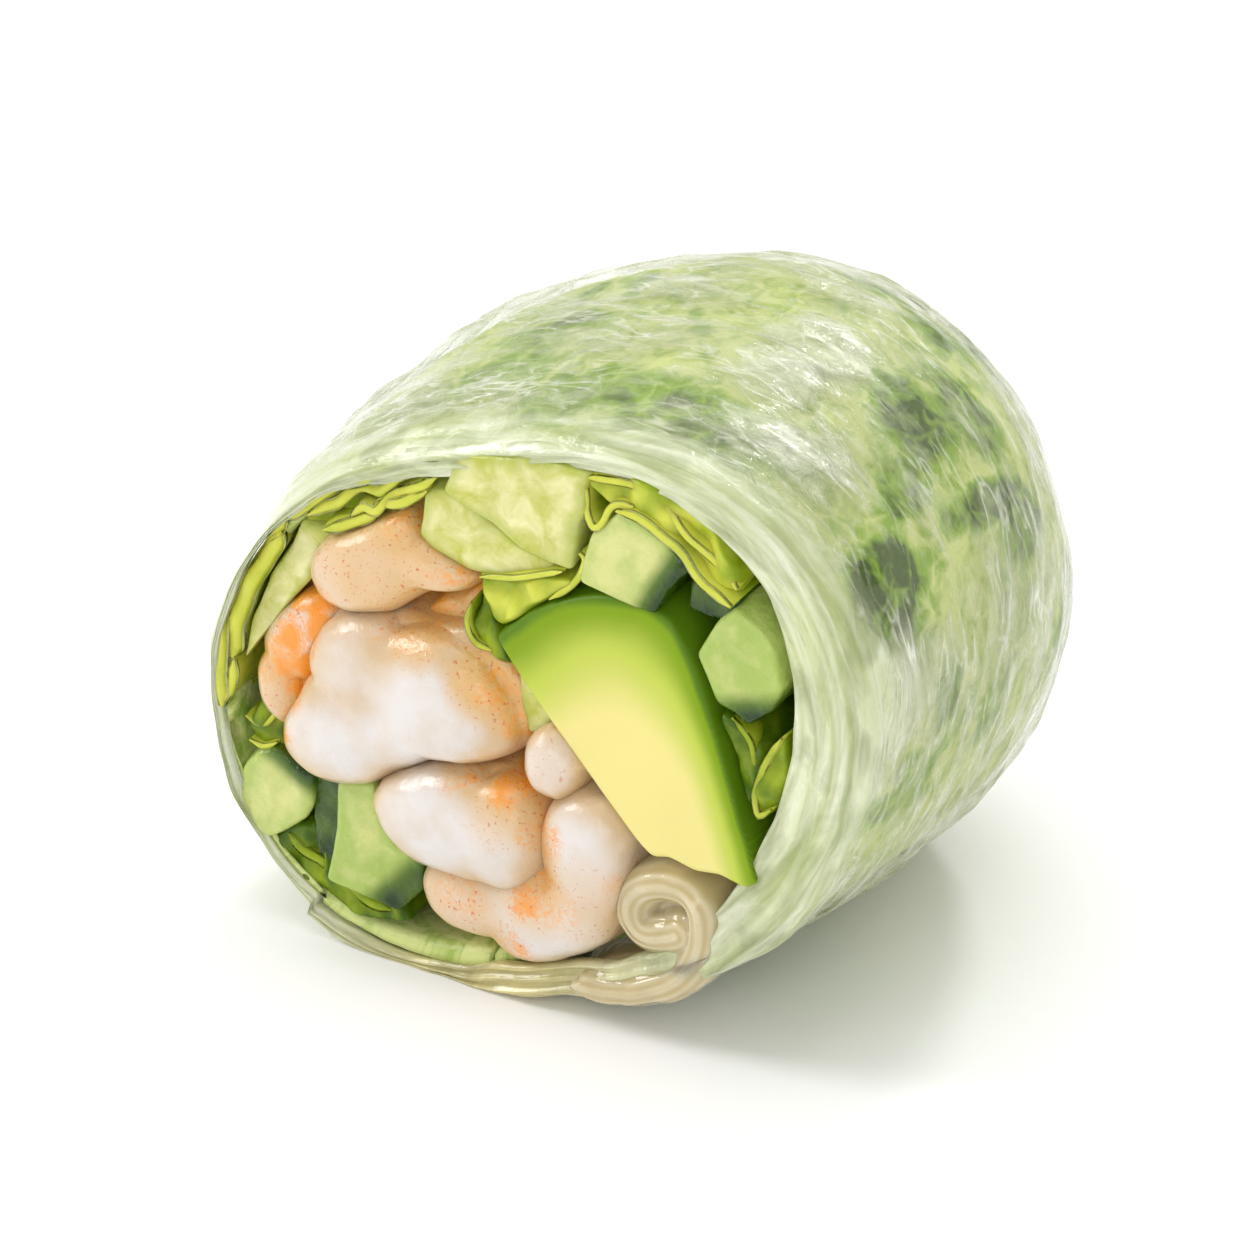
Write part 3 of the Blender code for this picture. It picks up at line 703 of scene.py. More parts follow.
def spots_over(points, spots):
    """The strongest of round spots (x, z, radius, strength) at each point."""
    found = np.zeros(len(points))
    for x, z, radius, strength in spots:
        away = np.hypot(points[:, 0] - x, points[:, 1] - z)
        found = np.maximum(found, strength * (1 - smooth(away, 0.35 * radius, radius)))
    return found


def filling_body(sizes, outline, centre, corner, front, edge, height_of, rough):
    """A filling that runs through the roll, with its cut face rounded over at the rim.

    height_of gives how far points of the face stand out. The body, its face points and each
    point's distance from the rim come back.
    """
    rim = rounded(outline, sizes.face_grid, corner)
    centre = np.array(centre, float)
    reach = np.hypot(*(rim - centre).T)
    steps = int(reach.max() / sizes.face_grid)
    spreads = 1 - (1 - np.linspace(0.02, 1, steps)) ** 1.25
    rings, face_points, rim_distance = [], [], []
    for spread in spreads:
        flat = centre + (rim - centre) * spread
        inside = reach * (1 - spread)
        turned_in = 1 - np.clip(inside / edge, 0, 1)
        fall = edge * (1 - np.sqrt(np.clip(1 - turned_in**2, 0, 1)))
        ring = np.column_stack([flat[:, 0], front - height_of(flat) + fall, flat[:, 1]])
        ring[:, 1] += rough * uneven(ring, 1.7, 3) * np.minimum(inside / edge, 1)
        rings.append(ring)
        face_points.append(flat)
        rim_distance.append(inside)
    for back in (1.0, 3.0, 8.0, 16.0, 26.0, sizes.filling_back):
        y = rings[steps - 1][:, 1] + back if back < 8 else np.full(len(rim), back)
        rings.append(carry(rim, y))
        face_points.append(rim)
        rim_distance.append(np.zeros(len(rim)))
    points, faces = loft(rings)
    flat = np.concatenate(face_points + [centre[None], rim.mean(axis=0)[None]])
    distance = np.concatenate(rim_distance + [[reach.mean()], [0.0]])
    return points, faces, flat, distance


# Shrimp: node, face front, centre, outline, lobes, orange stains, tan patches (tan flesh and painted
# shade, as on the set-back tail piece). Lobes and spots are in the order that lobe_heights and
# spots_over take.
SHRIMP = (
    (
        "shrimp_middle", 0.9, (-9.0, 19.6),
        ((-13.8, 25.6), (-9.8, 26.5), (-7.5, 26.3), (-3.6, 26.9), (-0.5, 25.2), (0.9, 23.6),
         (2.2, 21.6), (0.8, 18.9), (-0.8, 17.9), (-2.8, 17.1), (-6.4, 16.6), (-9.4, 14.7),
         (-11.7, 13.1), (-14.5, 12.3), (-17.4, 12.3), (-19.6, 13.6), (-19.2, 16.2),
         (-17.7, 18.6), (-17.2, 22.0), (-15.6, 24.4)),
        ((-5.6, 20.9, 6.2, 4.9, -22, 2.6), (-12.4, 22.1, 4.9, 4.5, -28, 2.1),
         (-13.9, 16.5, 6.0, 4.4, 6, 2.5), (-8.4, 17.6, 4.6, 3.2, -20, 2.2)),
        ((-0.4, 23.4, 2.6, 0.7), (1.2, 21.0, 2.2, 0.75), (-19.0, 15.5, 2.2, 1.0),
         (-17.6, 19.0, 2.0, 0.7), (-16.5, 23.2, 2.2, 0.5), (-9.0, 26.2, 3.2, 0.35),
         (-1.5, 17.6, 2.2, 0.35)),
        ((-1.2, 24.0, 4.0, 0.9), (1.0, 21.4, 2.6, 0.9), (-7.0, 26.0, 3.4, 0.6)),
    ),
    (
        "shrimp_lower_front", 0.6, (-4.2, 12.4),
        ((-11.9, 12.6), (-10.6, 14.2), (-8.4, 15.4), (-6.4, 16.3), (-4.2, 16.9), (-1.3, 17.2),
         (1.2, 16.6), (2.5, 15.7), (3.1, 13.5), (2.9, 11.3), (1.9, 9.1), (0.6, 8.1),
         (-2.0, 7.7), (-5.0, 8.2), (-7.8, 8.2), (-9.4, 8.8), (-10.6, 10.0), (-11.4, 11.2)),
        ((-5.2, 12.5, 6.6, 4.7, -4, 2.6), (-0.4, 12.4, 3.6, 4.4, 0, 2.4)),
        ((-3.6, 16.9, 2.6, 0.5), (0.4, 16.6, 2.4, 0.85), (2.7, 13.6, 1.8, 0.6),
         (-11.0, 12.8, 1.6, 0.4)),
        ((0.6, 15.6, 4.5, 0.5),),
    ),
    (
        "shrimp_upper", 1.2, (-10.2, 29.8),
        ((-17.0, 29.0), (-15.2, 31.0), (-12.8, 32.1), (-10.8, 33.4), (-8.6, 34.6),
         (-7.2, 32.9), (-5.6, 31.8), (-3.7, 31.3), (-2.5, 30.7), (-3.6, 29.4), (-6.0, 28.8),
         (-7.8, 28.0), (-10.0, 26.3), (-13.7, 25.3), (-16.6, 25.6), (-17.3, 27.2)),
        ((-12.0, 29.0, 5.2, 4.0, 8, 1.9), (-6.6, 30.5, 4.2, 2.1, -10, 1.5),
         (-9.8, 32.4, 3.0, 2.2, 30, 1.3)),
        ((-3.4, 30.2, 2.4, 0.75), (-8.4, 33.2, 2.4, 0.5), (-5.5, 31.4, 2.0, 0.4),
         (-15.6, 26.4, 2.6, 0.45)),
        ((-10.0, 30.5, 8.5, 0.75),),
    ),
    (
        "shrimp_left", 1.7, (-18.9, 20.6),
        ((-21.9, 21.9), (-20.0, 24.2), (-17.8, 26.2), (-16.0, 26.6), (-14.4, 25.6),
         (-15.5, 23.6), (-16.6, 21.6), (-16.8, 18.6), (-17.9, 16.4), (-19.9, 14.6),
         (-21.6, 16.2), (-22.5, 19.0)),
        ((-18.2, 22.6, 4.2, 3.2, 40, 1.2), (-20.6, 17.8, 2.3, 3.2, -10, 1.3)),
        ((-17.0, 23.4, 4.6, 1.0), (-18.4, 21.0, 3.6, 1.0), (-21.0, 20.4, 2.4, 0.7),
         (-17.9, 18.6, 2.2, 0.9)),
        ((-19.6, 19.0, 5.5, 0.7),),
    ),
    (
        "shrimp_lower", 1.3, (3.6, 8.2),
        ((5.2, 17.3), (7.8, 17.3), (8.9, 16.4), (9.7, 14.9), (9.4, 13.0), (9.3, 10.7),
         (8.6, 8.3), (7.6, 6.3), (5.6, 4.8), (3.6, 3.6), (1.6, 2.9), (-0.6, 2.6),
         (-3.4, 3.6), (-6.0, 4.1), (-7.4, 5.2), (-8.1, 7.0), (-7.6, 8.6), (-3.8, 10.4),
         (0.8, 12.4), (3.0, 16.2)),
        ((6.3, 12.6, 4.2, 5.8, 4, 2.4), (1.6, 6.6, 4.6, 4.4, -20, 2.2),
         (-3.9, 6.6, 4.8, 3.2, 6, 2.1), (5.2, 7.4, 3.6, 3.6, 0, 2.2)),
        ((3.3, 13.6, 2.6, 0.6), (2.8, 10.2, 2.2, 0.65), (1.6, 8.4, 2.4, 0.75),
         (0.6, 4.6, 2.4, 0.65), (4.6, 8.8, 2.6, 0.5), (8.6, 11.6, 1.4, 0.3),
         (-3.6, 7.4, 3.4, 0.45)),
        ((2.4, 9.8, 5.0, 0.6), (-3.6, 5.6, 5.0, 0.5), (6.8, 9.6, 5.0, 0.35)),
    ),
    (
        "shrimp_small_lobe", 0.8, (3.2, 18.6),
        ((1.1, 19.9), (1.9, 21.0), (3.1, 21.7), (4.1, 21.3), (5.5, 19.9), (6.2, 19.3),
         (5.7, 18.1), (5.2, 16.9), (4.2, 15.6), (1.8, 15.9), (0.9, 17.8)),
        ((3.2, 18.9, 3.0, 3.2, 0, 1.7),),
        ((0.9, 17.6, 1.6, 0.45), (2.0, 15.9, 1.6, 0.7)),
        ((3.0, 18.6, 5.0, 0.3),),
    ),
    (
        "shrimp_tail", 3.0, (-5.0, 27.4),
        ((-10.0, 25.6), (-7.4, 28.0), (-4.4, 29.6), (-2.4, 30.9), (-2.0, 29.8), (-2.7, 28.0),
         (-3.2, 26.2), (-5.6, 24.8)),
        ((-5.0, 27.2, 3.4, 2.2, 22, 0.6),),
        ((-3.6, 28.6, 2.6, 0.9), (-7.0, 26.6, 2.4, 0.8)),
        ((-5.0, 27.4, 6.0, 1.0),),
    ),
)


def add_shrimp(sizes, look):
    """The halved shrimp: rounded lobes, stained orange where the skin was."""
    for name, front, centre, outline, lobes, stains, tans_and_shade in SHRIMP:
        points, faces, flat, _ = filling_body(
            sizes, outline, centre, 0.8, front, 1.7,
            lambda flat, lobes=lobes: lobe_heights(flat, lobes), 0.07,
        )
        height = lobe_heights(flat, lobes)
        tallest = max(lobe[5] for lobe in lobes)
        stain = spots_over(flat, stains) * (0.75 + 0.5 * uneven(points, 1.6, 5))
        furrow = 1 - smooth(height, 0.35, 1.3)
        stain = np.maximum(stain, 0.28 * furrow * (1 + uneven(points, 2.4, 9)))
        # Painted shade: the low furrows between lobes get some tan, darker than the white flesh.
        tan = spots_over(flat, tans_and_shade) + 0.2 * furrow
        thin = 1 - smooth(height / tallest, 0.55, 0.97)
        fields = {"stain": np.clip(stain, 0, 1), "tan": np.clip(tan, 0, 1), "thin": thin}
        add_piece(name + "_flesh", [(points, faces, fields)], [look], [name])


def bezier(start, pull_start, pull_end, end, count):
    """Points along one curved side, without its end point."""
    t = np.linspace(0, 1, count, endpoint=False)[:, None]
    corners = [np.array(p, float) for p in (start, pull_start, pull_end, end)]
    weights = ((1 - t) ** 3, 3 * t * (1 - t) ** 2, 3 * t**2 * (1 - t), t**3)
    return sum(weight * corner for weight, corner in zip(weights, corners))


def nearest(points, line):
    """The distance from each point to a line's closest point."""
    best = np.full(len(points), 1e9)
    for corner in line:
        best = np.minimum(best, np.hypot(points[:, 0] - corner[0], points[:, 1] - corner[1]))
    return best


def add_avocado(sizes, look):
    """The avocado wedge: two skin sides, a straight stone side and a ragged foot."""
    tip, shoulder, foot, heel = (-1.1, 27.0), (12.6, 31.2), (19.3, 14.2), (10.4, 14.7)
    skin = np.concatenate(
        [
            bezier(tip, (2.5, 30.7), (8.5, 33.8), shoulder, 60),
            bezier(shoulder, (15.2, 28.2), (17.0, 21.0), foot, 60),
        ]
    )
    ragged = [foot, (18.4, 13.5), (16.4, 13.9), (14.6, 13.7), (12.6, 14.3), (11.4, 14.0)]
    stone = bezier(heel, (7.5, 17.4), (2.0, 22.6), tip, 40)
    outline = np.concatenate([skin, ragged, stone])
    points, faces, flat, _ = filling_body(
        sizes, outline, (9.8, 22.6), 0.45, 0.3, 0.55,
        lambda flat: 0.4 * uneven(np.column_stack([flat, flat[:, 0]]), 9.0, 1), 0.03,
    )
    from_top, from_side = nearest(flat, skin[:60]), nearest(flat, skin[60:])
    away = (np.maximum(from_top, 0.01) ** -3 + np.maximum(from_side, 0.01) ** -3) ** (-1 / 3)
    lower_right = smooth(flat[:, 0] - 0.6 * flat[:, 1], -14, 4)
    depth = away / (10.5 - 6.5 * lower_right)
    fields = {"depth": np.clip(depth, 0, 1.2)}
    add_piece("avocado_flesh", [(points, faces, fields)], [look], ["avocado_wedge"])


# Cucumber: node, face front, centre, outline, direction the skin faces in degrees (None where the
# piece is skin all over), how far from the centre the skin starts, and how pale the flesh is.
CUCUMBER = (
    ("cucumber_top", 0.3, (9.6, 34.6),
     ((6.4, 36.0), (9.0, 38.4), (12.2, 36.8), (14.0, 35.2), (12.4, 33.4), (11.4, 31.5),
      (9.8, 31.6), (5.6, 32.5), (6.0, 34.5)), -28, 2.3, 0.85),
    ("cucumber_right_dark", 1.2, (15.3, 33.4),
     ((13.6, 34.6), (14.3, 35.5), (15.3, 35.1), (16.9, 34.7), (17.4, 33.3), (16.2, 31.8),
      (14.7, 31.8), (13.3, 32.2)), None, 0.0, 0.0),
    ("cucumber_right", 0.8, (17.6, 29.0),
     ((17.3, 33.3), (15.8, 32.0), (14.3, 29.3), (15.9, 26.2), (17.3, 25.8), (18.2, 25.1),
      (20.1, 26.6), (20.8, 28.4), (20.2, 30.9), (19.0, 32.3)), -75, 2.5, 0.15),
    ("cucumber_bottom_skin", 1.0, (-15.9, 9.2),
     ((-17.0, 12.8), (-14.2, 13.0), (-14.5, 11.3), (-15.0, 8.0), (-15.5, 5.0), (-17.1, 6.2),
      (-17.4, 8.9)), None, 0.0, 0.0),
    ("cucumber_left", 0.4, (-19.8, 10.0),
     ((-21.8, 13.0), (-19.9, 13.8), (-18.5, 12.9), (-16.7, 12.5), (-17.0, 10.1),
      (-17.6, 8.9), (-19.5, 7.4), (-20.9, 6.5), (-21.9, 6.6), (-23.4, 8.2), (-23.1, 11.6)),
     60, 2.6, 0.8),
    ("cucumber_bottom", 0.3, (-11.7, 8.6),
     ((-14.6, 12.8), (-11.4, 13.5), (-10.8, 11.1), (-9.8, 9.1), (-7.5, 8.2), (-7.5, 6.3),
      (-9.7, 3.8), (-13.0, 4.2), (-15.8, 4.7), (-14.9, 9.0)), -45, 3.1, 0.25),
)


def add_cucumber(sizes, look):
    """The cucumber batons, with skin on one side, and the strips that are all skin."""
    for name, front, centre, outline, facing, skin_from, pale in CUCUMBER:
        points, faces, flat, distance = filling_body(
            sizes, outline, centre, 0.5, front, 0.4,
            lambda flat: 0.25 * uneven(np.column_stack([flat, flat[:, 0]]), 4.0, 2), 0.06,
        )
        if facing is None:
            skin = 0.8 + 0.25 * uneven(points, 1.8, 4)
        else:
            toward = (math.cos(math.radians(facing)), math.sin(math.radians(facing)))
            along = (flat - centre) @ toward
            skin = smooth(along, skin_from - 1.6, skin_from + 0.7)
            skin *= 0.85 + 0.3 * uneven(points, 2.5, 6)
        soft = pale + 0.5 * uneven(points, 2.4, 8) - 0.45 * (1 - smooth(distance, 0.2, 1.6))
        fields = {"skin": np.clip(skin, 0, 1), "pale": np.clip(soft, 0, 1)}
        add_piece(name + "_baton", [(points, faces, fields)], [look], [name])


# Ribs: node, face front, centre, outline.
RIBS = (
    ("lettuce_rib_top", 0.1, (0.6, 36.9),
     ((-3.8, 39.5), (-4.4, 38.3), (-5.2, 36.5), (-1.4, 35.0), (1.3, 33.8), (3.6, 33.2),
      (5.0, 33.1), (5.3, 34.6), (5.6, 36.5), (6.3, 37.6), (6.2, 38.9), (6.6, 40.3),
      (3.2, 40.6), (-0.1, 40.2))),
    ("lettuce_rib_left", 0.6, (-2.6, 33.6),
     ((-6.8, 36.2), (-7.0, 34.1), (-7.4, 32.8), (-6.4, 31.9), (-3.5, 31.0), (-0.7, 31.2),
      (2.8, 32.3), (3.6, 33.1), (0.9, 33.9), (-1.9, 35.1), (-3.4, 36.1), (-5.1, 36.6))),
    ("lettuce_rib_side", 1.2, (-18.2, 27.0),
     ((-17.6, 31.4), (-14.6, 31.4), (-16.4, 28.9), (-16.9, 27.2), (-18.9, 24.9),
      (-21.0, 22.3), (-22.9, 19.7), (-22.3, 23.0), (-20.6, 26.6), (-18.6, 29.4))),
    ("lettuce_scrap_middle", 0.9, (1.8, 22.4),
     ((0.5, 24.7), (1.8, 23.6), (3.2, 22.0), (2.6, 20.6), (1.2, 20.2), (0.5, 21.8))),
)


def add_ribs(sizes, look):
    """The crisp pieces of lettuce rib."""
    for name, front, centre, outline in RIBS:
        points, faces, _, distance = filling_body(
            sizes, outline, centre, 0.4, front, 0.45,
            lambda flat: 0.5 * uneven(np.column_stack([flat, flat[:, 1]]), 3.2, 4), 0.1,
        )
        fields = {"rim": 1 - smooth(distance, 0.15, 1.3)}
        add_piece(name + "_crisp", [(points, faces, fields)], [look], [name])


def ribbon(path, thickness, front, back, wave=0.0, seed=0, lit=(0.35, 1.0), frill=0.0):
    """A thin sheet that stands along the roll: its path on the cut face, swept back from its edge.

    wave is how far its front edge strays, and frill how far the sheet swings sideways.
    """
    line = rounded(path, 0.25, 0.9, closed=False)
    step = np.gradient(line, axis=0)
    normal = np.column_stack([-step[:, 1], step[:, 0]]) / np.hypot(*step.T)[:, None]
    run = np.concatenate([[0], np.cumsum(np.hypot(*np.diff(line, axis=0).T))])
    seeds = np.column_stack([run, np.full(len(run), 7.0 * seed), np.zeros(len(run))])
    edge_y = front + wave * uneven(seeds, 2.6, seed)
    swing = frill * uneven(seeds, 3.4, seed + 3)
    taper = 0.35 + 0.65 * smooth(np.minimum(run, run[-1] - run), 0, 1.0)
    half = 0.5 * thickness * taper
    depths = (0.1, 0.35, 0.8, 1.6, 3.0, 6.0)
    profile = [(math.sin(a), 0.5 * thickness * (1 - math.cos(a))) for a in
               np.linspace(-math.pi / 2, math.pi / 2, 7)]
    columns, painted_light_shade = [], []
    sides = [(-1.0, depth) for depth in reversed(depths)] + profile
    sides += [(1.0, depth) for depth in depths]
    for across, behind in [(-1.0, back)] + sides + [(1.0, back)]:
        far = smooth(behind, 0.0, 5.0)
        flat = line + normal * (half * across + swing * (1 - far))[:, None]
        y = np.where(behind >= back, back, edge_y + behind)
        columns.append(carry(flat, y))
        # Painted light and shade: brightest at the front edge, painted darker as the sheet runs back
        # into the roll.
        painted_light_shade.append(np.full(len(line), lit[1] + (lit[0] - lit[1]) * smooth(behind, 0.1, 2.2)))
    points, faces = loft(np.stack(columns, axis=1), flat_ends=True)
    return points, faces, {"lit": np.stack(painted_light_shade, axis=1).ravel()}


def leaf_core(sizes, outline, centre, front, lit):
    """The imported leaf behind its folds: a rough plug set back from the cut."""
    points, faces, _, distance = filling_body(
        sizes, outline, centre, 0.5, front, 0.6,
        lambda flat: 0.7 * uneven(np.column_stack([flat, flat[:, 0]]), 2.2, 6), 0.15,
    )
    # Painted shade: the plug is darker at its rim, where it meets the pieces round it.
    tone = lit + 0.3 * uneven(points, 1.5, 7) - 0.2 * (1 - smooth(distance, 0.1, 0.8))
    return points, faces, {"lit": np.clip(tone, 0, 1)}


# Leaves: node, then its plug (outline, centre, how far back, brightness), then its folds (path,
# thickness, front, wave, frill, brightness inside and at the edge). Each brightness is painted light
# and shade on top of the leaf's own greens.
LEAVES = (
    (
        "leaf_upper_left",
        (((-19.0, 31.0), (-15.7, 33.8), (-13.6, 35.6), (-8.8, 38.4), (-4.6, 39.6),
          (-4.4, 38.0), (-7.4, 35.6), (-10.5, 33.2), (-12.8, 31.6), (-15.4, 31.0)),
         (-10.4, 35.4), 1.7, 0.55),
        (
            (((-18.6, 31.2), (-15.2, 33.6), (-12.2, 35.4), (-8.6, 37.6), (-4.4, 39.3)),
             0.9, 0.4, 0.5, 0.3, (0.5, 1.0)),
            (((-16.6, 31.9), (-13.8, 32.9), (-12.4, 34.6), (-10.2, 34.8), (-8.8, 36.4),
              (-5.2, 38.2)), 0.8, 0.7, 0.7, 0.4, (0.4, 1.0)),
            (((-13.2, 31.9), (-11.9, 33.6), (-10.5, 33.5), (-9.6, 35.0), (-7.9, 35.6),
              (-5.6, 37.1)), 0.7, 0.5, 0.6, 0.3, (0.45, 1.0)),
            (((-15.0, 31.6), (-12.8, 32.3), (-11.0, 33.0), (-10.1, 34.3), (-8.2, 34.9),
              (-6.2, 36.2)), 0.8, 0.1, 0.6, 0.3, (0.6, 1.0)),
        ),
    ),
    (
        "leaf_curled",
        (((-2.4, 30.9), (-2.4, 29.5), (-1.8, 28.0), (-0.9, 27.5), (0.6, 28.6), (2.6, 30.2),
          (4.4, 31.6), (5.6, 32.6), (3.0, 32.2), (0.0, 31.2)),
         (0.4, 30.0), 0.5, 0.85),
        (
            (((3.2, 30.6), (4.6, 31.6), (5.6, 32.6), (6.2, 34.0), (5.4, 34.4)),
             0.5, 0.2, 0.3, 0.1, (0.5, 1.0)),
            (((-2.3, 31.0), (0.2, 31.3), (2.8, 32.2), (4.6, 33.0)),
             0.4, 0.2, 0.3, 0.1, (0.6, 1.0)),
        ),
    ),
    (
        "leaf_by_avocado",
        (((-2.8, 29.4), (-3.7, 26.9), (-3.3, 25.4), (-1.6, 24.7), (-0.2, 24.8), (-1.1, 26.6),
          (-2.0, 28.2)), (-2.3, 26.5), 1.2, 0.35),
        (
            (((-3.2, 28.6), (-3.8, 26.8), (-3.2, 25.4), (-1.6, 25.2)),
             0.45, 0.8, 0.2, 0.2, (0.3, 0.75)),
        ),
    ),
    (
        "leaf_upper_right",
        (((5.9, 39.6), (7.5, 40.6), (11.3, 40.6), (14.8, 39.0), (17.8, 35.8), (17.5, 34.2),
          (15.4, 34.9), (13.6, 36.6), (11.2, 37.8), (9.0, 38.6), (7.4, 38.4)),
         (11.9, 38.6), 0.6, 0.75),
        (
            (((6.0, 39.9), (9.4, 40.0), (12.6, 38.6), (15.4, 36.3), (17.6, 34.4)),
             0.5, 0.3, 0.4, 0.3, (0.6, 1.0)),
            (((8.6, 38.4), (11.0, 37.6), (13.4, 36.4), (15.4, 34.6), (17.6, 33.6)),
             0.6, 0.0, 0.5, 0.4, (0.6, 1.0)),
            (((6.2, 39.2), (6.0, 37.4), (6.8, 36.2), (7.6, 37.0), (8.0, 38.4), (10.0, 38.6)),
             0.5, 0.3, 0.3, 0.2, (0.5, 1.0)),
        ),
    ),
    (
        "leaf_right",
        (((16.1, 25.7), (17.4, 25.3), (19.3, 23.4), (18.9, 20.6), (18.2, 19.2), (17.2, 21.8)),
         (17.8, 22.6), 1.0, 0.18),
        (
            (((16.8, 25.4), (18.4, 23.8), (18.6, 21.4), (18.3, 19.6)),
             0.4, 0.9, 0.2, 0.2, (0.2, 0.5)),
        ),
    ),
    (
        "leaf_right_edge",
        (((21.0, 25.2), (19.6, 23.0), (18.6, 20.4), (18.8, 18.3), (20.1, 19.3), (21.2, 21.9)),
         (19.9, 21.6), 0.9, 0.4),
        (
            (((20.9, 25.0), (19.5, 22.6), (18.6, 20.2), (19.0, 18.6), (20.2, 19.8)),
             0.45, 0.6, 0.2, 0.15, (0.4, 0.7)),
        ),
    ),
    (
        "leaf_left",
        (((-21.8, 16.6), (-19.6, 17.0), (-20.1, 14.6), (-19.7, 13.6), (-21.2, 12.4),
          (-23.1, 14.5)), (-21.3, 14.8), 1.2, 0.35),
        (
            (((-22.9, 15.4), (-21.6, 14.6), (-20.6, 15.4), (-19.8, 16.6)),
             0.4, 0.9, 0.3, 0.3, (0.4, 0.8)),
            (((-22.6, 13.6), (-21.2, 12.9), (-19.8, 13.9)),
             0.45, 0.8, 0.2, 0.2, (0.4, 0.8)),
        ),
    ),
    (
        "leaf_lower_left",
        (((-20.9, 6.6), (-19.0, 8.2), (-17.0, 8.4), (-15.6, 5.0), (-13.4, 4.4), (-9.6, 4.2),
          (-9.0, 3.0), (-12.4, 2.2), (-15.4, 2.4), (-18.8, 4.0)),
         (-16.4, 4.9), 1.0, 0.25),
        (
            (((-19.4, 7.2), (-18.4, 5.9), (-16.6, 5.6), (-15.0, 4.2), (-12.6, 3.6), (-10.4, 3.4)),
             0.8, 0.8, 0.5, 0.1, (0.2, 0.42)),
        ),
    ),
)


def add_leaves(sizes, look):
    """The folded leaves between the other fillings."""
    for name, plug, folds in LEAVES:
        outline, centre, set_back, lit = plug
        bodies = [leaf_core(sizes, outline, centre, set_back, lit)]
        for seed, (path, thickness, front, wave, frill, brightness) in enumerate(folds, 1):
            bodies.append(
                ribbon(path, thickness, front, 14.0, wave, seed, brightness, frill)
            )
        add_piece(name + "_folds", bodies, [look], [name])


# The paper's inner end: the outline and centre of its rolled part, and of the tail below it.
CURL = (
    (((8.1, 10.2), (8.8, 12.2), (10.6, 13.4), (13.2, 13.6), (15.6, 12.4), (16.6, 10.2),
      (16.3, 7.8), (14.8, 6.0), (12.4, 5.3), (10.0, 5.6), (8.5, 6.9), (7.9, 8.6)), (12.3, 9.5)),
    (((4.4, 2.2), (6.8, 1.5), (10.2, 1.9), (13.4, 3.4), (15.8, 5.8), (16.6, 8.4), (14.2, 7.2),
      (11.6, 6.2), (8.6, 5.2), (6.0, 4.2)), (10.6, 4.0)),
)


def add_curl(sizes, look):
    """The rice paper's inner end, rolled up, with its tail running into the layers underneath."""
    spiral = np.concatenate(
        [
            bezier((13.4, 8.9), (12.6, 8.3), (9.7, 6.9), (9.5, 9.6), 24),
            bezier((9.5, 9.6), (9.5, 12.6), (15.2, 13.4), (15.3, 10.2), 24),
            bezier((15.3, 10.2), (15.5, 7.4), (13.8, 5.4), (12.2, 4.5), 24),
            bezier((12.2, 4.5), (10.6, 3.5), (8.2, 2.6), (4.6, 2.8), 24),
        ]
    )
    half_thickness, crest_height = 1.5, 1.7

    def from_crest(flat):
        return np.clip(nearest(flat, spiral) / half_thickness, 0, 1)

    def crest(flat):
        lumps = 0.3 * uneven(np.column_stack([flat, flat[:, 0]]), 2.4, 5)
        return crest_height * np.sqrt(1 - from_crest(flat) ** 2) + lumps

    bodies = []
    for outline, centre in CURL:
        points, faces, flat, _ = filling_body(
            sizes, outline, centre, 0.7, 1.5, 0.9, crest, 0.06
        )
        bodies.append((points, faces, {"layer": from_crest(flat)}))
    add_piece("rice_paper_rolled_end", bodies, [look], ["rice_paper_curl"])


# ---------------------------------------------------------------- lining and film


def shell_shape(angle, y, sizes):
    """How far the wrapped body's skin stands out from its plain oval, in millimetres."""
    past_seam = (angle - SEAM_ANGLE) % TURN
    step = SEAM_STEP * np.clip(1 - past_seam / SEAM_FADE, 0, 1)
    gather = np.clip((y / LENGTH - FOLDS_START) / (1 - FOLDS_START), 0, 1)
    folds = sizes.fold_depth * gather * np.cos(FOLD_COUNT * angle + 2.2 * gather)
    sag = 1.5 * bump(angle, 72, 50) * smooth(y, 16, 30) * (1 - smooth(y, 36, 46))
    tucked = -0.9 * bump(angle, -142, 40) * (1 - smooth(y, 4, 16))
    return (step + folds) * barrel(y) / CUT_RADIUS + sag + tucked


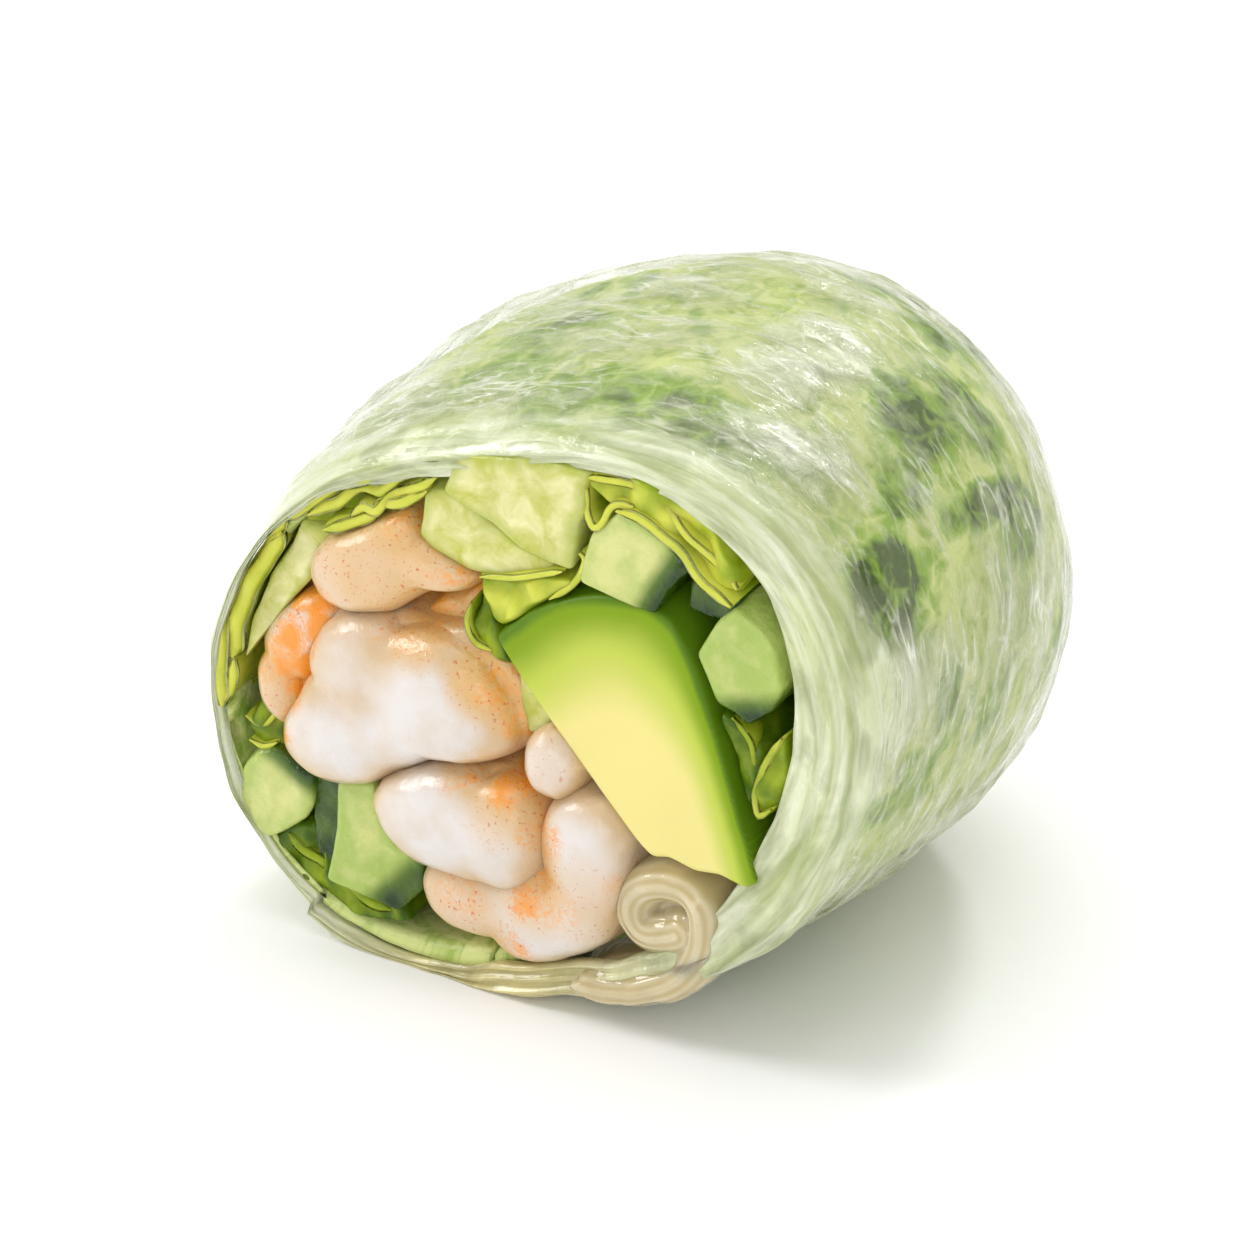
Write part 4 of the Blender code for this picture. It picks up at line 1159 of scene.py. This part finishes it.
# Patches of leaf under the film: (angle in degrees, y, half length round the roll in
# millimetres, half length along it, tilt in degrees, tone). A negative tone is a paler patch.
PATCHES = (
    (64, 4.5, 9, 3.6, -20, 0.55),
    (84, 6.5, 7, 3.2, -15, 0.4),
    (108, 9.0, 5, 3.4, -10, 0.42),
    (102, 16.5, 3.4, 1.6, 0, 0.5),
    (110, 14.0, 4, 2.0, 10, 0.3),
    (73.5, 13.5, 0.8, 7.2, -38, 0.34),
    (95, 22.0, 0.5, 4.0, -50, 0.3),
    (73.5, 13.5, 2.2, 8.0, -38, -0.15),
    (27, 7.0, 2.6, 3.0, 0, 0.95),
    (26, 7.0, 4.6, 5.0, 0, 0.4),
    (37, 12.0, 2.4, 2.4, 0, 0.6),
    (43, 17.0, 3.6, 3.4, 15, 0.65),
    (40, 23.0, 4.0, 3.0, 0, 0.5),
    (28, 20.0, 1.4, 6.0, 4, 0.6),
    (22, 24.0, 2.6, 4.0, 0, 0.5),
    (6, 11.5, 2.4, 2.0, 20, 0.5),
    (0, 3.0, 5.0, 3.0, 0, 0.35),
    (-4, 9.0, 3.0, 5.0, 0, 0.35),
    (-2, 19.0, 2.6, 3.0, 0, 0.3),
    (52, 28.0, 3.0, 2.5, 0, 0.5),
    (66, 29.0, 2.5, 2.5, 0, 0.4),
    (100, 22.0, 1.2, 3.0, -10, 0.5),
    (110, 22.0, 1.0, 3.4, -10, 0.5),
    (88, 1.5, 5.0, 1.4, 0, -0.3),
    (-60, 14.0, 6.0, 8.0, 0, 0.3),
    (150, 20.0, 6.0, 7.0, 0, 0.35),
    (175, 9.0, 6.0, 5.0, 0, 0.3),
    (-165, 20.0, 7.0, 8.0, 0, 0.4),
    (60, 38.0, 8.0, 4.0, 0, 0.4),
    (0, 36.0, 8.0, 5.0, 0, 0.35),
    (120, 37.0, 8.0, 5.0, 0, 0.4),
    (-150, 38.0, 8.0, 5.0, 0, 0.35),
)

# Milky places in the film, in the same terms, with how much milkier they are.
MILKY = (
    (50, 7.0, 5.0, 3.5, -15, 0.35),
    (58, 13.0, 3.0, 5.0, 30, 0.4),
    (60, 17.0, 3.4, 3.4, 20, 0.4),
    (14, 6.0, 3.6, 6.0, 10, 0.45),
    (12, 3.0, 6.0, 2.5, 0, 0.35),
    (88, 12.0, 4.0, 3.0, 0, 0.15),
    (4, 16.5, 6.0, 4.0, 0, 0.1),
    (84, 20.0, 6.0, 2.4, 0, 0.25),
    (136, 5.0, 12.0, 5.0, 0, 0.35),
    (27, 7.0, 5.0, 5.0, 0, -0.22),
    (38, 12.5, 3.4, 3.4, 0, -0.15),
    (43, 17.5, 5.0, 4.0, 15, -0.15),
    (66, 5.0, 10.0, 3.4, -20, -0.08),
    (28, 21.0, 3.0, 7.0, 4, -0.1),
    (14, 24.0, 3.0, 6.0, 0, 0.3),
    (78, 26.0, 9.0, 4.0, 0, 0.15),
    (-60, 6.0, 6.0, 5.0, 0, 0.25),
)


def places_over(angle, y, places, wobble):
    """The sum of soft oval places on the skin, their edges made uneven by wobble."""
    total = np.zeros(angle.shape)
    for degrees, y_middle, half_round, half_along, tilt, strength in places:
        turned = (angle - math.radians(degrees) + math.pi) % TURN - math.pi
        round_mm, along_mm = turned * CUT_RADIUS, y - y_middle
        c, s = math.cos(math.radians(tilt)), math.sin(math.radians(tilt))
        u = (round_mm * c + along_mm * s) / half_round
        v = (along_mm * c - round_mm * s) / half_along
        reach = np.sqrt(u**2 + v**2) + 0.35 * wobble
        total += strength * (1 - smooth(reach, 0.55, 1.15))
    return total


# The lining goes round the roll from just past its lowest line back to just before it.
LEAF_FROM, LEAF_TO = math.radians(-97), math.radians(262)


def paper_wall(angle):
    """The wrapper's thickness, with its layers piled up underneath."""
    return 0.9 + 1.2 * bump(angle, -95, 60)


# The lining's own cut edge where it shows on the left, in the same terms as a leaf's folds.
LINING_FOLDS = (
    (((-24.6, 15.5), (-24.7, 19.0), (-24.3, 23.0), (-22.9, 26.6), (-20.2, 30.0), (-18.0, 31.6)),
     1.5, 0.3, 0.4, 0.2, (0.6, 1.0)),
    (((-23.6, 19.2), (-23.2, 22.6), (-21.9, 25.8), (-19.9, 28.6), (-18.6, 30.4)),
     1.6, 0.5, 0.6, 0.3, (0.5, 1.0)),
    (((-24.4, 15.8), (-23.6, 17.6), (-23.2, 19.8)), 0.9, 0.4, 0.3, 0.2, (0.7, 1.0)),
)


def add_lining(sizes, look, fold_look):
    """The crumpled leaf under the film."""
    ways = np.linspace(LEAF_FROM, LEAF_TO, 374)
    behind_curl = 6.0 * bump(ways, -60, 42)  # leaves room for the rolled-up paper
    outside = np.concatenate([[0.9, 1.2], np.linspace(1.8, LINING_END, 134)])
    inside = (47.0, 43.0, 37.0, 28.0, 18.0, 9.0, 4.0, 1.6, 0.9)
    closing = (0.8, 0.6, 0.4, 0.2, 0.04)
    stations = [(y, 1.0, True) for y in outside]
    stations += [(LINING_END + 0.05, squeeze, True) for squeeze in closing]
    stations += [(LINING_END - 0.6, squeeze, False) for squeeze in reversed(closing)]
    stations += [(y, 1.0, False) for y in inside]
    columns, angles, ys = [], [], []
    for y, squeeze, is_outside in stations:
        level = y + behind_curl * (1 - y / LINING_END)
        skin = on_body(ways, level, 0.0)
        front_round = 0.5 * (1 - smooth(y, 0.9, 1.6))
        if is_outside:
            crumple = 0.28 * uneven(skin * (1.0, 0.7, 1.0), 4.5, 2) + 0.12 * uneven(skin, 1.8, 5)
            lift = shell_shape(ways, level, sizes)
            near_lip = 1 - smooth(y, 3.0, 6.0)
            under = 0.6 + 0.5 * bump(ways, -95, 60)
            inset = under + (paper_wall(ways) - under + 0.1) * near_lip
            inset = inset - np.minimum(crumple, 0.2) + front_round - lift
        else:
            inset = paper_wall(ways) + 1.3 + 1.7 * bump(ways, 5, 75) - front_round
        column = on_body(ways, level, inset + (1 - squeeze) * oval_radius(ways, 0.0))
        column[:, 2] = 0.3 + above_board(column[:, 2] - 0.3)
        columns.append(column)
        angles.append(ways)
        ys.append(level)
    points, faces = loft(np.stack(columns, axis=1), flat_ends=True)
    angle = np.stack(angles, axis=1).ravel()
    y = np.stack(ys, axis=1).ravel()
    wobble = uneven(points, 3.0, 11) + 0.5 * uneven(points, 1.1, 12)
    tone = 0.24 + places_over(angle, y, PATCHES, wobble) + 0.15 * uneven(points, 6.0, 13)
    around = np.column_stack([angle * CUT_RADIUS, y, np.zeros(len(y))])
    fields = {"tone": np.clip(tone, 0, 1), "around": around}
    bodies = [(points, faces, fields)]
    for seed, (path, thickness, front, wave, frill, brightness) in enumerate(LINING_FOLDS, 40):
        bodies.append(ribbon(path, thickness, front, 14.0, wave, seed, brightness, frill))
    looks_of_bodies = [0] + [1] * len(LINING_FOLDS)
    add_piece(
        "lettuce_under_film", bodies, [look, fold_look], ["lettuce_lining"],
        looks_of_bodies,
    )


def lip_width(angle):
    """How wide the rolled lip of the wrapper is round the cut."""
    return (
        0.8 + 1.6 * bump(angle, 100, 70) + 4.7 * bump(angle, 0, 85) + 2.0 * bump(angle, -88, 60)
    )


def add_film(sizes, looks):
    """The rice paper: a thin closed cup whose lip rolls over the edge of the leaf."""
    count = sizes.film_around
    turn = np.linspace(0, TURN, count, endpoint=False) + SEAM_ANGLE
    ragged = 0.35 * uneven(on_body(turn, np.zeros(count), 0.0), 7.0, 21)
    ragged += 0.15 * uneven(on_body(turn, np.zeros(count), 0.0), 2.2, 22)
    wide = lip_width(turn) + 0.25 * uneven(on_body(turn, np.zeros(count), 3.0), 3.0, 23)
    drift = uneven(on_body(turn, np.zeros(count), 0.0), 12.0, 27)
    rings, ys, lips = [], [], []

    def add_ring(y, inset, lip, wrinkled=0.0):
        y = np.broadcast_to(np.asarray(y, float), turn.shape).copy()
        skin = on_body(turn, np.clip(y, 0, LENGTH), 0.0)
        stretched = np.column_stack([skin[:, 0], skin[:, 1] * 2.2, skin[:, 2]])
        soft = uneven(stretched, 9.0, 24) + 0.5 * uneven(stretched, 4.0, 25)
        fine = 0.25 * uneven(stretched, 1.9, 26)
        stand = shell_shape(turn, y, sizes) + sizes.film_wrinkle * wrinkled * (soft + fine)
        ring = on_body(turn, np.clip(y, 0, LENGTH), inset - stand)
        ring[:, 1] = y
        ring[:, 2] = above_board(ring[:, 2])
        rings.append(ring)
        ys.append(y - inset if lip == 1.0 else y)
        lips.append(np.full(count, lip))

    thin, inner = 0.3 + 0.5 * bump(turn, -95, 60), paper_wall(turn) - 0.05
    for y in (47.0, 45.5, 43.0, 40.0, 36.0, 30.0, 22.0, 14.0, 9.0, 5.0):
        add_ring(y, thin, 0.0, 1.0)
    add_ring(2.6, inner, 0.0)
    add_ring(1.7 + ragged, inner, 0.3)
    recess = 0.14 * wide
    add_ring(1.5 + ragged + recess, np.maximum(wide - 0.2, inner), 1.0)
    inside_count = len(rings)
    add_ring(0.9 + ragged + recess, wide + 0.1, 1.0)
    for across in (0.95, 0.88, *(0.08 * step for step in range(10, 0, -1))):
        layers = 0.13 * np.cos(TURN * (2.6 * across + 0.35 * drift))
        y = 0.22 + ragged + recess * across**1.6 + layers * (1 + bump(turn, -95, 70))
        add_ring(y, 0.5 + (wide - 0.5) * across, 1.0, 0.3 * (1 - across))
    first = 0.42
    rolled_length, rolled_depth = 2.4, 0.95
    for step in np.linspace(0, 1, sizes.film_along) ** 1.25:
        y = first + (FILM_END - first) * step
        near_lip = float(1 - smooth(y, 0.8, 5.0))
        over = np.clip((rolled_length - y) / rolled_length, 0, 1)
        turned_in = rolled_depth * (1 - np.sqrt(1 - over**2))
        add_ring(y + ragged * near_lip, turned_in, near_lip, 1.0)
    for squeeze in (0.85, 0.7, 0.55, 0.4, 0.25, 0.12, 0.03):
        add_ring(FILM_END + 0.3 * (1 - squeeze), (1 - squeeze) * oval_radius(turn, 0.0), 0.0)
    points, faces = loft(rings)
    angle = np.concatenate([np.tile(turn, len(rings)), [0.0, 0.0]])
    y = np.concatenate([np.concatenate(ys), [45.0, 48.0]])
    lip = np.concatenate([np.concatenate(lips), [0.0, 0.0]])
    wobble = uneven(points, 3.5, 31) + 0.6 * uneven(points, 1.3, 32)
    milk = 0.22 + places_over(angle, y, MILKY, wobble)
    # Painted shade: the film is made less milky, so darker, round the right side of the roll.
    painted_shade_right = bump(angle, -10, 60)
    milk -= 0.06 * painted_shade_right
    milk += 0.25 * smooth(y, 40, 47)
    around = np.column_stack([angle * CUT_RADIUS, y, np.zeros(len(y))])
    fields = {
        "milk": np.clip(milk, 0, 1), "lip": lip, "around": around,
        "under": bump(angle, -92, 55) * lip,
    }
    obj = add_piece(
        "rice_paper_film", [(points, faces, fields)], looks, ["rice_paper_wrapper"]
    )
    inside = np.zeros(len(obj.data.polygons), np.int32)
    inside[: (inside_count - 2) * count] = 1
    obj.data.polygons.foreach_set("material_index", inside)
    obj.data.update()


# ---------------------------------------------------------------- stage


def add_stage(sizes, colours):
    """A white board, soft light from the left and a camera a little above the cut face."""
    mesh = bpy.data.meshes.new("board")
    half = 3.0
    mesh.from_pydata(
        [(-half, -half, 0), (half, -half, 0), (half, half, 0), (-half, half, 0)], [], [(0, 1, 2, 3)]
    )
    mesh.materials.append(white_board(colours))
    board = bpy.data.objects.new("board", mesh)
    bpy.context.scene.collection.objects.link(board)

    world = bpy.data.worlds.new("soft_room")
    world.use_nodes = True
    world.node_tree.nodes["Background"].inputs["Color"].default_value = (1, 1, 1, 1)
    room_brightness = 0.7
    world.node_tree.nodes["Background"].inputs["Strength"].default_value = room_brightness
    bpy.context.scene.world = world

    target = Vector((0.0, 0.0, 0.02))
    for name, place, size, power in (
        ("key_light", (-1.45, -0.6, 1.1), 0.75, sizes.light * 0.94),
        ("back_light", (-0.1, 1.2, 1.3), 0.3, sizes.light * 0.6),
        ("top_light", (0.0, 0.1, 1.9), 1.6, sizes.light * 0.85),
        ("front_light", (0.7, -1.7, 0.8), 1.2, sizes.light * 0.6),
    ):
        light = bpy.data.lights.new(name, "AREA")
        light.shape = "DISK"
        light.size = size
        light.energy = power
        lamp = bpy.data.objects.new(name, light)
        lamp.location = place
        lamp.rotation_euler = (target - Vector(place)).to_track_quat("-Z", "Y").to_euler()
        bpy.context.scene.collection.objects.link(lamp)

    azimuth, elevation, distance = math.radians(33), math.radians(24), 0.2893
    back = Vector((
        math.sin(azimuth) * math.cos(elevation),
        -math.cos(azimuth) * math.cos(elevation),
        math.sin(elevation),
    ))
    aim = Vector((-0.0003, -0.0079, 0.02255))
    camera = bpy.data.objects.new("camera", bpy.data.cameras.new("camera"))
    camera.data.lens = 120
    camera.data.sensor_width = 36
    camera.data.clip_start = 0.01
    camera.location = aim + back * distance
    camera.rotation_euler = (-back).to_track_quat("-Z", "Y").to_euler()
    bpy.context.scene.collection.objects.link(camera)
    bpy.context.scene.camera = camera
    bpy.context.scene.view_settings.view_transform = "Standard"


# ---------------------------------------------------------------- operators and panel


class RollOperator:
    """What the roll's operators share."""

    bl_options = {"REGISTER", "UNDO"}

    def execute(self, context):
        self.build(context.scene.roll_sizes, context.scene.roll_colours)
        return {"FINISHED"}


class ROLL_OT_shrimp(RollOperator, bpy.types.Operator):
    """Adds the halved shrimp"""

    bl_idname = "roll.shrimp"
    bl_label = "Shrimp"

    def build(self, sizes, colours):
        add_shrimp(sizes, cooked_shrimp(colours))


class ROLL_OT_avocado(RollOperator, bpy.types.Operator):
    """Adds the avocado wedge"""

    bl_idname = "roll.avocado"
    bl_label = "Avocado"

    def build(self, sizes, colours):
        add_avocado(sizes, cut_avocado(colours))


class ROLL_OT_cucumber(RollOperator, bpy.types.Operator):
    """Adds the cucumber batons"""

    bl_idname = "roll.cucumber"
    bl_label = "Cucumber"

    def build(self, sizes, colours):
        add_cucumber(sizes, cut_cucumber(colours))


class ROLL_OT_lettuce(RollOperator, bpy.types.Operator):
    """Adds the lettuce ribs, the folded leaves and the leaf under the film"""

    bl_idname = "roll.lettuce"
    bl_label = "Lettuce"

    def build(self, sizes, colours):
        leaf = lettuce_leaf(colours)
        add_ribs(sizes, cut_rib(colours))
        add_leaves(sizes, leaf)
        add_lining(sizes, lining_leaf(colours), leaf)


class ROLL_OT_rice_paper(RollOperator, bpy.types.Operator):
    """Adds the rice paper film and its rolled-up inner end"""

    bl_idname = "roll.rice_paper"
    bl_label = "Rice Paper"

    def build(self, sizes, colours):
        add_film(sizes, [wet_rice_paper(colours, sizes), clear_rice_paper(colours)])
        add_curl(sizes, rolled_rice_paper(colours))


class ROLL_OT_stage(RollOperator, bpy.types.Operator):
    """Adds the board, the lights and the camera"""

    bl_idname = "roll.stage"
    bl_label = "Stage"

    def build(self, sizes, colours):
        add_stage(sizes, colours)


OPERATORS = (
    ROLL_OT_stage,
    ROLL_OT_shrimp,
    ROLL_OT_avocado,
    ROLL_OT_cucumber,
    ROLL_OT_lettuce,
    ROLL_OT_rice_paper,
)


class ROLL_PT_panel(bpy.types.Panel):
    """Lists the roll's pieces, sizes and colours"""

    bl_label = "Rice Paper Roll"
    bl_idname = "ROLL_PT_panel"
    bl_space_type = "VIEW_3D"
    bl_region_type = "UI"
    bl_category = "Roll"

    def draw(self, context):
        for operator in OPERATORS:
            self.layout.operator(operator.bl_idname)
        for group in (context.scene.roll_sizes, context.scene.roll_colours):
            box = self.layout.box()
            for key in group.__annotations__:
                box.prop(group, key)


CLASSES = (RollSizes, RollColours, *OPERATORS, ROLL_PT_panel)


def register():
    for cls in CLASSES:
        bpy.utils.register_class(cls)
    bpy.types.Scene.roll_sizes = bpy.props.PointerProperty(type=RollSizes)
    bpy.types.Scene.roll_colours = bpy.props.PointerProperty(type=RollColours)


def unregister():
    del bpy.types.Scene.roll_colours
    del bpy.types.Scene.roll_sizes
    for cls in reversed(CLASSES):
        bpy.utils.unregister_class(cls)


def main():
    register()
    for operator in OPERATORS:
        group, name = operator.bl_idname.split(".")
        getattr(getattr(bpy.ops, group), name)()


if __name__ == "__main__":
    main()
